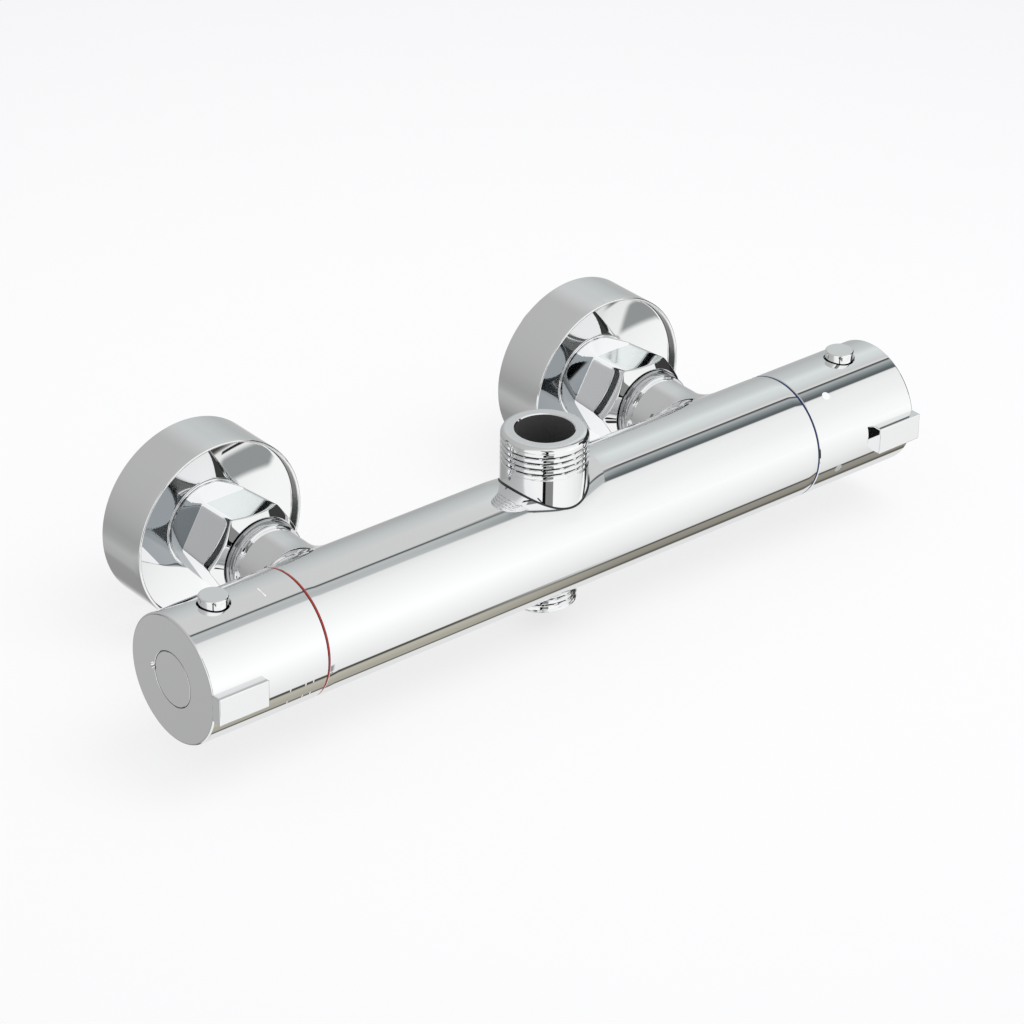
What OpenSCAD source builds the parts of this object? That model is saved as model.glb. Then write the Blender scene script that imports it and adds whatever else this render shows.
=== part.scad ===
// Thermostatic shower bar valve: a chromed brass bar on two wall inlets, with a temperature handle at the left end,
// a flow handle at the right end, a threaded outlet on top and one underneath.
// Millimetres. The origin is on the wall's face midway between the two wall tails; +Y goes into the wall, +Z is up.

/* [Bar] */
// distance between the two wall inlets
inlet_spacing = 150; // [140:1:160]
// from the wall's face to the bar's axis
wall_to_axis = 76.3; // [70:0.1:90]
// how far the bar's axis hangs below the wall tails
eccentric_drop = 5; // [0:0.5:10]
// radius of the bar and of both handles
bar_r = 19.5; // [17:0.1:24]
// how far the bar casting reaches past an inlet's axis
bar_overhang = 18.4; // [15:0.1:24]
// thickness of the coloured ring between the bar and a handle
ring_t = 0.5; // [0.3:0.1:2]
// wall thickness of the bar round a cartridge bore
bore_wall = 4; // [2.5:0.1:6]
// radius of the long waterways in the bar
channel_r = 4.4; // [3:0.1:5]
// distance of the long waterways from the bar's axis
channel_off = 9.6; // [8:0.1:10]

/* [Arms] */
// radius of the arm that carries a union
arm_r = 11.4; // [10:0.1:14]
// from the bar's axis to the arm's end
arm_end = 33.8; // [28:0.1:40]
// edge break at the arm's end
arm_chamfer = 0.35; // [0.1:0.05:1]
// how far the arm's blend spreads along the bar towards its middle
blend_x = 10; // [4:0.5:14]
// how far the arm's blend spreads up and down the bar
blend_z = 4.6; // [2:0.1:7]
// radius of the arm's waterway
arm_bore_r = 8.4; // [6:0.1:9]
// radius of the seat that the tailpiece is pressed into
tailpiece_seat_r = 9.6; // [8:0.1:10]
// depth of that seat
tailpiece_seat_l = 6; // [4:0.1:10]

/* [Top outlet] */
// radius over the top outlet's thread
top_r = 13.05; // [12:0.05:14]
// wall thickness of the top outlet with its thread
top_wall = 4.25; // [3:0.05:6]
// from the bar's skin to the top outlet's rim
top_rise = 14.9; // [12:0.1:20]
// length of the top outlet's thread with its chamfer
top_thread_l = 10.6; // [8:0.1:14]

/* [Bottom outlet] */
// radius over the bottom outlet's thread
bottom_r = 10.4; // [9:0.05:12]
// wall thickness of the bottom outlet with its thread
bottom_wall = 3; // [2:0.1:4]
// from the bar's skin to the bottom outlet's rim
bottom_drop = 3; // [2:0.1:10]
// depth of the flat that the bottom outlet stands on
bottom_flat_d = 3.5; // [1.5:0.1:5]
// radius of that flat
bottom_flat_r = 13; // [12:0.1:15]

/* [Unions and flanges] */
// circumradius of the union nut at its front
nut_front_r = 16.6; // [15:0.1:20]
// circumradius of the union nut at the crease
nut_crease_r = 15.3; // [14:0.1:19]
// radius of the union nut's rounded back
nut_back_r = 14; // [13:0.05:16]
// length of the union nut's rounded rear part, behind its crease
nut_rear_l = 8.1; // [5:0.1:12]
// radius of the union's large thread
union_r = 12.7; // [12:0.05:13.5]
// radius of the wall tail's thread
tail_r = 10.4; // [9:0.05:11]
// how far the wall tail reaches behind the wall's face
tail_l = 15; // [8:0.5:30]
// radius of the waterway through the wall tail
tail_bore_r = 6.8; // [5:0.1:8]
// outer radius of the wall flange
flange_r = 29.3; // [27:0.1:35]
// depth of the wall flange from its rim to the wall
flange_l = 18.7; // [12:0.1:25]
// wall thickness of the flange
flange_t = 0.9; // [0.6:0.1:2]

/* [Handles] */
// length of a handle
handle_l = 39.45; // [34:0.05:48]
// wall thickness of a handle shell
shell_t = 2; // [1.2:0.1:3]
// thickness of a handle's end wall
end_wall_t = 3; // [2:0.1:5]
// length of the thumb tab, up to the handle's end
tab_l = 16.9; // [12:0.1:22]
// how far the thumb tab stands out from the handle
tab_rise = 2.8; // [1.5:0.1:6]
// lower edge of the thumb tab below the bar's axis
tab_low = 4.4; // [3:0.1:8]
// upper edge of the thumb tab above the bar's axis
tab_high = 4.2; // [3:0.1:8]
// radius of the round plug in a handle's end
plug_r = 8.36; // [6:0.02:10]
// thickness of that plug
plug_t = 1.6; // [1:0.1:2.5]
// radius of the notch for lifting the plug
notch_r = 1.3; // [0.8:0.1:2]

/* [Buttons] */
// from a handle's end to the button's axis
button_back = 14.5; // [11:0.1:18]
// radius of a button's cap
button_r = 4.4; // [3.5:0.1:6]
// radius of the hole around the cap
button_hole_r = 4.9; // [4:0.1:6.5]
// how far a button stands out from the handle
button_rise = 2.6; // [1.8:0.1:4]
// travel of a button
button_travel = 1.5; // [1:0.1:2]

/* [Cartridges] */
// radius of the splined spindles
spindle_r = 4; // [3:0.1:5]
// travel of the thermostat's shuttle each way
shuttle_travel = 0.6; // [0.4:0.1:1]
// travel of a check valve's poppet
poppet_travel = 2.5; // [1.5:0.1:3.5]

/* [Clearances] */
// radial gap of pieces fixed in each other
seat_gap = 0.05; // [0.02:0.01:0.1]
// radial gap of turning or sliding pieces
run_gap = 0.06; // [0.03:0.01:0.1]
// flat gap beside turning pieces
side_gap = 0.15; // [0.1:0.05:0.4]
// radial gap where pieces pass with room
free_gap = 0.4; // [0.3:0.05:1]

/* [Hidden] */
$fn = 96;
mm = wall_to_axis / 76.3;
half_pitch = inlet_spacing / 2;
axis_y = -wall_to_axis;
axis_z = -eccentric_drop;
edge = 0.5 * mm;
break_edge = 0.6 * mm;
lead = 1 * mm;
bar_half = half_pitch + bar_overhang;
cartridge_bore_r = bar_r - bore_wall;
housing_r_gap = 1.9 * mm;
housing_r = cartridge_bore_r - housing_r_gap;
top_bore_r = top_r - top_wall;
top_end = bar_r + top_rise;
top_seat_gap = 5.6 * mm;
top_seat = bar_r - top_seat_gap;
bottom_bore_r = bottom_r - bottom_wall;
bottom_end = bar_r + bottom_drop;
bottom_flat = bar_r - bottom_flat_d;
tab_reach = bar_r + tab_rise;
button_top = bar_r + button_rise;
flange_high_gap = 3.6 * mm;
flange_high = bar_r - flange_high_gap;
flange_low_gap = 1.1 * mm;
flange_low = flange_high - flange_low_gap;
well_low_gap = 5 * mm;
well_low = flange_low - well_low_gap;
finger_low_gap = 1.8 * mm;
finger_low = well_low - finger_low_gap;
blend_end = 1.2 * mm;
blend_out = bar_overhang - arm_r - blend_end;
thermo_bore_l = 45.4 * mm;
flow_bore_l = 18.4 * mm;
ring_end = bar_half + ring_t;
handle_start = ring_end + side_gap;
overall_half = handle_start + handle_l;
tab_start = overall_half - tab_l;
button_x = overall_half - button_back;
hub_start_gap = 9 * mm;
hub_start = button_x - hub_start_gap;
socket_end_gap = 10 * mm;
socket_end = hub_start + socket_end_gap;
nut_front_gap = 4.4 * mm;
nut_front = arm_end + nut_front_gap;
nut_back_gap = 12.7 * mm;
nut_back = wall_to_axis - nut_back_gap;
nut_crease = nut_back - nut_rear_l;
shell_in_r = bar_r - shell_t;
end_in = overall_half - end_wall_t;
chrome_c = [0.8, 0.81, 0.82];
dark_chrome_c = [0.35, 0.36, 0.37];
brass_c = [0.78, 0.62, 0.34];
white_c = [0.9, 0.9, 0.88];
grey_c = [0.45, 0.46, 0.48];
black_c = [0.06, 0.06, 0.065];
steel_c = [0.6, 0.61, 0.62];

// a round rod along the bar, from one place to the other
module rod_x(x0, x1, r) {
    translate([x0, axis_y, axis_z]) rotate([0, 90, 0]) cylinder(h = x1 - x0, r = r);
}

// a cone along the bar
module cone_x(x0, x1, r0, r1) {
    translate([x0, axis_y, axis_z]) rotate([0, 90, 0]) cylinder(h = x1 - x0, r1 = r0, r2 = r1);
}

// a round rod from the bar towards the wall on one inlet's axis
module rod_q(side_share, q0, q1, r) {
    translate([side_share * half_pitch, axis_y + q0, axis_z]) rotate([-90, 0, 0]) cylinder(h = q1 - q0, r = r);
}

// a cone on one inlet's axis
module cone_q(side_share, q0, q1, r0, r1) {
    translate([side_share * half_pitch, axis_y + q0, axis_z]) rotate([-90, 0, 0])
        cylinder(h = q1 - q0, r1 = r0, r2 = r1);
}

// a round rod standing over the bar's axis at a place along the bar
module rod_z(x, z0, z1, r) {
    translate([x, axis_y, axis_z + z0]) cylinder(h = z1 - z0, r = r);
}

// a cone standing over the bar's axis
module cone_z(x, z0, z1, r0, r1) {
    translate([x, axis_y, axis_z + z0]) cylinder(h = z1 - z0, r1 = r0, r2 = r1);
}

// a block given by its two corners, measured from the bar's axis
module block(x0, x1, q0, q1, z0, z1) {
    translate([x0, axis_y + q0, axis_z + z0]) cube([x1 - x0, q1 - q0, z1 - z0]);
}

// what stands at the left end, or its mirror image at the right end
module at_end(side_share) {
    if (side_share < 0) mirror([1, 0, 0]) children();
    else children();
}

// a close-wound spring as a stack of rings that run into each other, standing on z = 0
module ring_stack(count_share, r, wire_r) {
    pitch = wire_r * 1.7;
    union() {
        for (i = [0 : count_share - 1])
            translate([0, 0, wire_r + i * pitch]) rotate_extrude() translate([r, 0]) circle(r = wire_r, $fn = 24);
    }
}

// arm and blend
arm_sides_share = 32;
arm_steps_share = 8;
sink = 0.5 * mm;
function spread(a) = blend_x - (blend_x - blend_out) * (1 + cos(a)) / 2;
function land(a) = [(arm_r + spread(a)) * cos(a), (arm_r + blend_z) * sin(a)];
function land_q(a) = sqrt(bar_r * bar_r - land(a)[1] * land(a)[1]);
function knee_q(a) = (bar_r * bar_r - land(a)[1] * arm_r * sin(a)) / land_q(a);
function reach_of(a) = norm([land(a)[0] - arm_r * cos(a), land_q(a) - knee_q(a), land(a)[1] - arm_r * sin(a)]);
function p_start(a) = [(arm_r - sink) * cos(a), knee_q(a) + reach_of(a), (arm_r - sink) * sin(a)];
function p_knee(a) = [arm_r * cos(a), knee_q(a), arm_r * sin(a)];
function p_land(a) = [land(a)[0], land_q(a) - sink, land(a)[1]];
function on_blend(a, t) = (1 - t) * (1 - t) * p_start(a) + 2 * t * (1 - t) * p_knee(a) + t * t * p_land(a);

// the smooth spread of an arm into the bar, as a ring of faces from the arm down to the bar
module arm_blend() {
    n = arm_sides_share;
    m = arm_steps_share;
    top_q = arm_end - tailpiece_seat_l / 2;
    base_q = bar_r / 3;
    pts = concat(
        [for (i = [0 : n - 1]) [(arm_r - sink) * cos(i * 360 / n), top_q, (arm_r - sink) * sin(i * 360 / n)]],
        [for (j = [0 : m]) for (i = [0 : n - 1]) on_blend(i * 360 / n, j / m)],
        [for (i = [0 : n - 1]) [arm_r * cos(i * 360 / n), base_q, arm_r * sin(i * 360 / n)]]);
    rows = m + 2;
    faces = concat(
        [[for (i = [0 : n - 1]) i]],
        [for (j = [0 : rows - 1]) for (i = [0 : n - 1])
            [j * n + i, (j + 1) * n + i, (j + 1) * n + (i + 1) % n]],
        [for (j = [0 : rows - 1]) for (i = [0 : n - 1])
            [j * n + i, (j + 1) * n + (i + 1) % n, j * n + (i + 1) % n]],
        [[for (i = [n - 1 : -1 : 0]) rows * n + i]]);
    translate([0, axis_y, axis_z]) polyhedron(points = pts, faces = faces, convexity = 4);
}

// the casting's outside: the bar and its two arms
module bar_outside() {
    union() {
        rod_x(-bar_half, bar_half, bar_r);
        for (side_share = [-1, 1]) {
            rod_q(side_share, bar_r / 2, arm_end - arm_chamfer, arm_r);
            cone_q(side_share, arm_end - arm_chamfer, arm_end, arm_r, arm_r - arm_chamfer);
            at_end(side_share) translate([half_pitch, 0, 0]) arm_blend();
        }
    }
}

cold_drill_x_gap = 6.2 * mm;
cold_drill_x = half_pitch - cold_drill_x_gap;
thermo_floor = -bar_half + thermo_bore_l;
flow_floor = bar_half - flow_bore_l;
cross_q = 11 * mm;
outlet_floor = 5.8 * mm;
cold_start_gap = 3 * mm;
cold_start = cartridge_bore_r + cold_start_gap;

module bar_body() {
    color(chrome_c) difference() {
        bar_outside();
        // cartridge bores
        rod_x(-bar_half - lead, thermo_floor, cartridge_bore_r);
        rod_x(flow_floor, bar_half + lead, cartridge_bore_r);
        // hot inlet into the thermostat's bore, cold inlet into the crossover
        rod_q(-1, cartridge_bore_r / 2, arm_end + lead, arm_bore_r);
        rod_q(1, cold_start, arm_end + lead, arm_bore_r);
        translate([cold_drill_x, axis_y + cross_q, axis_z]) rotate([-90, 0, 0])
            cylinder(h = arm_end - cross_q - tailpiece_seat_l, r = channel_r * 0.86);
        for (side_share = [-1, 1])
            rod_q(side_share, arm_end - tailpiece_seat_l, arm_end + lead, tailpiece_seat_r);
        // cold crossover, mixed water, and the ways to the two outlets
        translate([0, cross_q, 0]) rod_x(thermo_floor - lead, cold_drill_x, channel_r * 0.86);
        translate([0, -channel_off, 0]) rod_x(thermo_floor - lead, flow_floor + lead, channel_r);
        translate([0, 0, channel_off]) rod_x(0, flow_floor + lead, channel_r);
        translate([0, 0, -channel_off]) rod_x(0, flow_floor + lead, channel_r);
        rod_z(0, outlet_floor, bar_r + lead, top_bore_r);
        rod_z(0, top_seat, bar_r + lead, top_r + seat_gap);
        rod_z(0, -bar_r - lead, -outlet_floor, bottom_bore_r);
        rod_z(0, -bar_r - lead, -bottom_flat, bottom_flat_r);
    }
}

top_thread_start = top_end - top_thread_l;
seal_t = 0.9 * mm;
outlet_start = top_seat + seal_t + seat_gap;
relief_l = 1 * mm;
relief_d = 0.9 * mm;
top_round = 1 * mm;

module top_outlet() {
    color(chrome_c) difference() {
        union() {
            rod_z(0, outlet_start, top_thread_start - relief_l, top_r);
            rod_z(0, outlet_start, top_end, top_r - relief_d);
            rod_z(0, top_thread_start, top_end - top_round, top_r);
            cone_z(0, top_end - top_round, top_end, top_r, top_r - relief_d);
        }
        rod_z(0, top_seat - lead, top_end + lead, top_bore_r);
    }
}

module bottom_outlet() {
    color(chrome_c) difference() {
        union() {
            rod_z(0, -bottom_end, -bottom_flat, bottom_r - relief_d);
            rod_z(0, -bottom_end + break_edge, -bottom_flat - relief_l, bottom_r);
            cone_z(0, -bottom_end, -bottom_end + break_edge, bottom_r - break_edge, bottom_r);
        }
        rod_z(0, -bottom_end - lead, -bottom_flat + lead, bottom_bore_r);
    }
}

ring_in_r_gap = 0.6 * mm;
ring_in_r = cartridge_bore_r + ring_in_r_gap;
ring_out_r_gap = 0.1 * mm;
ring_out_r = bar_r - ring_out_r_gap;

module end_ring() {
    difference() {
        rod_x(bar_half + seat_gap, ring_end, ring_out_r);
        rod_x(bar_half - lead, ring_end + lead, ring_in_r);
    }
}

module temperature_ring() {
    color([0.72, 0.1, 0.08]) at_end(-1) end_ring();
}

module flow_ring() {
    color([0.1, 0.16, 0.42]) end_ring();
}

// the tailpiece that the union nut hangs on
neck_r = 12.3 * mm;
neck_end_gap = 2.7 * mm;
neck_end = arm_end + neck_end_gap;
tube_r = 11.2 * mm;
collar_r = union_r - seat_gap;
snap_r = 12.9 * mm;
snap_start_gap = 0.2 * mm;
snap_start = neck_end + snap_start_gap;
snap_end_gap = 1.3 * mm;
snap_end = neck_end + snap_end_gap;
collar_start_gap = 8.8 * mm;
collar_start = arm_end + collar_start_gap;
collar_end_gap = 3 * mm;
collar_end = collar_start + collar_end_gap;
tailpiece_bore_r = 8.3 * mm;
tailpiece_start = arm_end - tailpiece_seat_l + side_gap;

module tailpiece(side_share) {
    color(chrome_c) difference() {
        union() {
            rod_q(side_share, tailpiece_start, arm_end + lead, tailpiece_seat_r - seat_gap);
            rod_q(side_share, arm_end, neck_end, neck_r);
            rod_q(side_share, arm_end, collar_end, tube_r);
            rod_q(side_share, collar_start, collar_end, collar_r);
        }
        rod_q(side_share, tailpiece_start - lead, collar_end + lead, tailpiece_bore_r);
    }
}

module tailpiece_hot() {
    tailpiece(-1);
}

module tailpiece_cold() {
    tailpiece(1);
}

module snap_rings() {
    color(dark_chrome_c) for (side_share = [-1, 1]) difference() {
        rod_q(side_share, snap_start, snap_end, snap_r);
        rod_q(side_share, neck_end - lead, snap_end + lead, tube_r + seat_gap);
    }
}

nut_shoulder_gap = 0.2 * mm;
nut_shoulder = collar_start - nut_shoulder_gap;
nut_dome = 1.8 * mm;
nut_face_r = 13.9 * mm;
nut_rear_r = 15.88 * mm;

// a hexagon frustum on one inlet's axis, with two corners along the bar
module hex_q(side_share, q0, q1, r0, r1) {
    translate([side_share * half_pitch, axis_y + q0, axis_z]) rotate([-90, 0, 0])
        cylinder(h = q1 - q0, r1 = r0, r2 = r1, $fn = 6);
}

module union_nut(side_share) {
    color(chrome_c) difference() {
        intersection() {
            union() {
                hex_q(side_share, nut_front, nut_crease, nut_front_r, nut_crease_r);
                hex_q(side_share, nut_crease - edge, nut_back, nut_crease_r, nut_rear_r);
            }
            union() {
                cone_q(side_share, nut_front, nut_front + nut_dome, nut_face_r, nut_front_r);
                rod_q(side_share, nut_front + nut_dome, nut_crease, nut_front_r);
                cone_q(side_share, nut_crease, nut_back, nut_crease_r, nut_back_r);
            }
        }
        rod_q(side_share, nut_front - lead, nut_shoulder + lead, tube_r + seat_gap);
        rod_q(side_share, nut_shoulder, nut_back + lead, union_r + seat_gap);
    }
}

module union_nut_hot() {
    union_nut(-1);
}

module union_nut_cold() {
    union_nut(1);
}

washer_end_gap = 2.4 * mm;
washer_end = collar_end + washer_end_gap;
washer_bore_r = 7.6 * mm;
screen_t = 0.5 * mm;
screen_bar = 0.7 * mm;
screen_pitch = 2.4 * mm;

// rubber washer with a plastic grid that holds back grit
module filter_washer(side_share) {
    color(black_c) union() {
        difference() {
            rod_q(side_share, collar_end, washer_end, collar_r - seat_gap);
            rod_q(side_share, collar_end - lead, washer_end + lead, washer_bore_r);
        }
        for (k = [-2 : 2]) translate([side_share * half_pitch, 0, 0]) {
            block(k * screen_pitch - screen_bar / 2, k * screen_pitch + screen_bar / 2, collar_end + screen_t,
                collar_end + 2 * screen_t, -washer_bore_r, washer_bore_r);
            block(-washer_bore_r, washer_bore_r, collar_end + screen_t, collar_end + 2 * screen_t,
                k * screen_pitch - screen_bar / 2, k * screen_pitch + screen_bar / 2);
        }
    }
}

module filter_washer_hot() {
    filter_washer(-1);
}

module filter_washer_cold() {
    filter_washer(1);
}

union_end_gap = 7.3 * mm;
union_end = wall_to_axis - union_end_gap;
web_end_gap = 3.9 * mm;
web_end = wall_to_axis - web_end_gap;
web_r = 14.4 * mm;
web_off = 1.5 * mm;
union_bore_r = 7.8 * mm;

// brass union that carries the inlet on a tail set off its axis
module eccentric_union(side_share) {
    color(chrome_c) difference() {
        union() {
            cone_q(side_share, washer_end, washer_end + break_edge, union_r - break_edge, union_r);
            rod_q(side_share, washer_end + break_edge, union_end, union_r);
            translate([0, 0, web_off]) rod_q(side_share, union_end, web_end, web_r);
            translate([0, 0, eccentric_drop]) {
                rod_q(side_share, web_end, wall_to_axis + tail_l - break_edge, tail_r);
                cone_q(side_share, wall_to_axis + tail_l - break_edge, wall_to_axis + tail_l, tail_r,
                    tail_r - break_edge);
            }
        }
        rod_q(side_share, washer_end - lead, union_end + lead, union_bore_r);
        translate([0, 0, eccentric_drop])
            rod_q(side_share, union_end - lead, wall_to_axis + tail_l + lead, tail_bore_r);
    }
}

module eccentric_union_hot() {
    eccentric_union(-1);
}

module eccentric_union_cold() {
    eccentric_union(1);
}

// wall flange: a drawn cup whose front is a shallow dish behind a thin rim, with a collar round the union
flange_rim = wall_to_axis - flange_l;
flange_in_r = flange_r - flange_t;
dish_deep = 4.5 * mm;
dish_ball_r = (flange_in_r * flange_in_r + dish_deep * dish_deep) / (2 * dish_deep);
dish_mid_gap = 7.7 * mm;
dish_mid = flange_rim + dish_mid_gap;
wall_end_gap = 2.7 * mm;
wall_end = flange_rim + wall_end_gap;
dish_r_gap = 0.5 * mm;
dish_r = flange_in_r - dish_r_gap;
hub_r = 14.5 * mm;
hub_front_gap = 0.2 * mm;
hub_front = nut_back + hub_front_gap;
function dish_q(r) = dish_mid - dish_ball_r + sqrt(dish_ball_r * dish_ball_r - r * r);
function dish(u) = [dish_r + (hub_r - edge - dish_r) * u, dish_q(dish_r + (hub_r - edge - dish_r) * u)];
function corner(t) = (1 - t) * (1 - t) * [flange_in_r, wall_end]
    + 2 * t * (1 - t) * [flange_in_r, dish_q(flange_in_r)] + t * t * [dish_r, dish_q(dish_r)];

module flange(side_share) {
    rim_r = flange_t / 2;
    front = concat(
        [for (t = [0 : 15 : 180]) [flange_in_r + rim_r + rim_r * cos(t), flange_rim + rim_r - rim_r * sin(t)]],
        [for (t = [0 : 0.25 : 0.75]) corner(t)],
        [for (u = [0 : 0.0625 : 1]) dish(u)]);
    back = concat(
        [for (u = [1 : -0.125 : 0]) dish(u) + [0, flange_t]],
        [[flange_in_r, dish_q(flange_in_r) + flange_t], [flange_in_r, wall_to_axis], [flange_r, wall_to_axis]]);
    color(chrome_c) translate([side_share * half_pitch, axis_y, axis_z]) rotate([-90, 0, 0]) difference() {
        union() {
            rotate_extrude() polygon(concat(front, back));
            translate([0, 0, hub_front]) cylinder(h = dish_q(hub_r) + flange_t - hub_front, r = hub_r);
        }
        translate([0, 0, hub_front - lead]) cylinder(h = dish_mid + lead - hub_front, r = union_r + seat_gap);
    }
}

module flange_hot() {
    flange(-1);
}

module flange_cold() {
    flange(1);
}

// check valve in the tailpiece: a plastic cage, a sprung poppet and its spring
cage_start = tailpiece_start + edge;
cage_end_gap = 11.4 * mm;
cage_end = arm_end + cage_end_gap;
cage_r = tailpiece_bore_r - seat_gap;
cage_bore_r = 6.6 * mm;
seat_r = 4.8 * mm;
seat_front_gap = 9.4 * mm;
seat_front = arm_end + seat_front_gap;
poppet_r = 5.7 * mm;
poppet_t = 1.4 * mm;
stem_r = 1.3 * mm;
stem_end_gap = 3.2 * mm;
stem_end = arm_end - stem_end_gap;
spider_end_gap = 2 * mm;
spider_end = cage_start + spider_end_gap;
check_wire = 0.4 * mm;
check_coil_r = 2.9 * mm;
spider_off_gap = 2.1 * mm;
spider_off = check_coil_r + spider_off_gap;
spider_hole_r = 1.5 * mm;

module check_housing(side_share) {
    color(white_c) difference() {
        rod_q(side_share, cage_start, cage_end, cage_r);
        rod_q(side_share, seat_front, cage_end + lead, seat_r);
        rod_q(side_share, spider_end, seat_front, cage_bore_r);
        rod_q(side_share, cage_start - lead, spider_end + lead, stem_r + run_gap);
        for (k = [0 : 2]) translate([side_share * half_pitch, axis_y, axis_z]) rotate([0, k * 120, 0])
            translate([0, cage_start - lead, spider_off]) rotate([-90, 0, 0])
                cylinder(h = spider_end - cage_start + 2 * lead, r = spider_hole_r);
    }
}

module check_housing_hot() {
    check_housing(-1);
}

module check_housing_cold() {
    check_housing(1);
}

module check_poppet(side_share) {
    color(white_c) union() {
        rod_q(side_share, seat_front - poppet_t, seat_front - side_gap, poppet_r);
        rod_q(side_share, stem_end, seat_front - edge, stem_r);
    }
}

module check_poppet_hot() {
    check_poppet(-1);
}

module check_poppet_cold() {
    check_poppet(1);
}

module check_spring(side_share) {
    color(steel_c) translate([side_share * half_pitch, axis_y + spider_end, axis_z]) rotate([-90, 0, 0])
        ring_stack(floor((seat_front - poppet_t - spider_end - 2 * check_wire) / (check_wire * 1.7)) + 1,
            check_coil_r, check_wire);
}

module check_spring_hot() {
    check_spring(-1);
}

module check_spring_cold() {
    check_spring(1);
}

// thermostatic cartridge, drawn along +X as at the right end and mirrored to the left
thermo_in = bar_half - thermo_bore_l + side_gap;
thermo_wall_r_gap = 2.2 * mm;
thermo_wall_r = housing_r - thermo_wall_r_gap;
thermo_floor_t = 3 * mm;
port_w = 4 * mm;
land_w = 5 * mm;
bonnet_in_gap = 7.4 * mm;
bonnet_in = bar_half - bonnet_in_gap;
bonnet_out_gap = 6 * mm;
bonnet_out = hub_start - bonnet_out_gap;
bonnet_r_gap = 4.5 * mm;
bonnet_r = cartridge_bore_r - bonnet_r_gap;
bonnet_collar_l = 7.2 * mm;
bonnet_bore_r_gap = 2.6 * mm;
bonnet_bore_r = bonnet_r - bonnet_bore_r_gap;
bonnet_wall = 3 * mm;
hot_port_gap = 8 * mm;
hot_port = bonnet_in - hot_port_gap;
cold_port_gap = 11.85 * mm;
cold_port = thermo_in + cold_port_gap;
mid_land_gap = 7 * mm;
mid_land = cold_port + mid_land_gap;
way_off_gap = 1.9 * mm;
way_off = channel_off - way_off_gap;
way_r = 3 * mm;
way_l = thermo_floor_t + 2 * lead;
seal_wire = 1.1 * mm;
groove_r = cartridge_bore_r - 2.1 * seal_wire;
shuttle_r = thermo_wall_r - run_gap;
bulb_r = 4.5 * mm;
nose_r_gap = 1 * mm;
nose_r = spindle_r + nose_r_gap;

module thermo_housing() {
    color(white_c) at_end(-1) difference() {
        union() {
            rod_x(thermo_in, bonnet_in, housing_r);
            for (x = [thermo_in, mid_land, bonnet_in - land_w]) rod_x(x, x + land_w, cartridge_bore_r - seat_gap);
        }
        rod_x(thermo_in + thermo_floor_t, bonnet_in + lead, thermo_wall_r);
        // water slots all round
        for (x = [cold_port, hot_port]) for (k = [0 : 3])
            translate([x - port_w / 2, axis_y, axis_z]) rotate([45 + k * 90, 0, 0])
                translate([0, -port_w / 2, 0]) cube([port_w, port_w, housing_r + lead]);
        // outlet at the inner end
        for (k = [0 : 3]) translate([thermo_in - lead, axis_y, axis_z]) rotate([k * 90, 0, 0])
            translate([0, way_off, 0]) rotate([0, 90, 0]) cylinder(h = way_l, r = way_r);
        // grooves for the rings of rubber
        for (x = [thermo_in + land_w / 2, mid_land + land_w / 2, bonnet_in - land_w / 2]) difference() {
            rod_x(x - seal_wire, x + seal_wire, cartridge_bore_r + lead);
            rod_x(x - seal_wire - lead, x + seal_wire + lead, groove_r);
        }
    }
}

flow_seal_x_gap = 1.5 * mm;
flow_seal_x = bonnet_in - flow_seal_x_gap;

module cartridge_seals() {
    color(black_c) union() {
        for (x = [thermo_in + land_w / 2, mid_land + land_w / 2, bonnet_in - land_w / 2])
            translate([-x, axis_y, axis_z]) rotate([0, 90, 0]) rotate_extrude()
                translate([cartridge_bore_r - seal_wire, 0]) circle(r = seal_wire - seat_gap, $fn = 32);
        translate([flow_seal_x, axis_y, axis_z]) rotate([0, 90, 0]) rotate_extrude()
            translate([cartridge_bore_r - seal_wire, 0]) circle(r = seal_wire - seat_gap, $fn = 32);
    }
}

// screwed cap of the thermostatic cartridge with the nose that guides the spindle
module thermo_bonnet() {
    color(brass_c) at_end(-1) difference() {
        union() {
            rod_x(bonnet_in, bonnet_in + bonnet_collar_l, cartridge_bore_r - seat_gap);
            rod_x(bonnet_in, bonnet_out, bonnet_r);
        }
        rod_x(bonnet_in - lead, bonnet_out - bonnet_wall, bonnet_bore_r);
        rod_x(bonnet_out - bonnet_wall - lead, bonnet_out + lead, nose_r + run_gap);
    }
}

// spindle with a splined end outside and the screw nose inside
spindle_in_gap = 6 * mm;
spindle_in = bonnet_in + spindle_in_gap;
spindle_shoulder_gap = 0.2 * mm;
spindle_shoulder = bonnet_out - bonnet_wall - spindle_shoulder_gap;
nose_end_gap = 3 * mm;
nose_end = bonnet_out + nose_end_gap;
spline_start_gap = 2 * mm;
spline_start = bonnet_out + spline_start_gap;
cup_end_gap = 3.6 * mm;
cup_end = bonnet_out - cup_end_gap;
cup_r = 5 * mm;
tapped_start_gap = 8 * mm;
tapped_start = socket_end - tapped_start_gap;
tapped_r = 1.6 * mm;

module spline() {
    translate([spline_start, axis_y, axis_z]) rotate([0, 90, 0])
        cylinder(h = socket_end - spline_start, r = spindle_r, $fn = 12);
}

module thermo_spindle() {
    color(brass_c) at_end(-1) difference() {
        union() {
            rod_x(spindle_in, spindle_shoulder, bonnet_bore_r - run_gap);
            rod_x(spindle_in, nose_end, nose_r);
            spline();
        }
        rod_x(spindle_in - lead, cup_end, cup_r);
        rod_x(tapped_start, socket_end + lead, tapped_r);
    }
}

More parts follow.
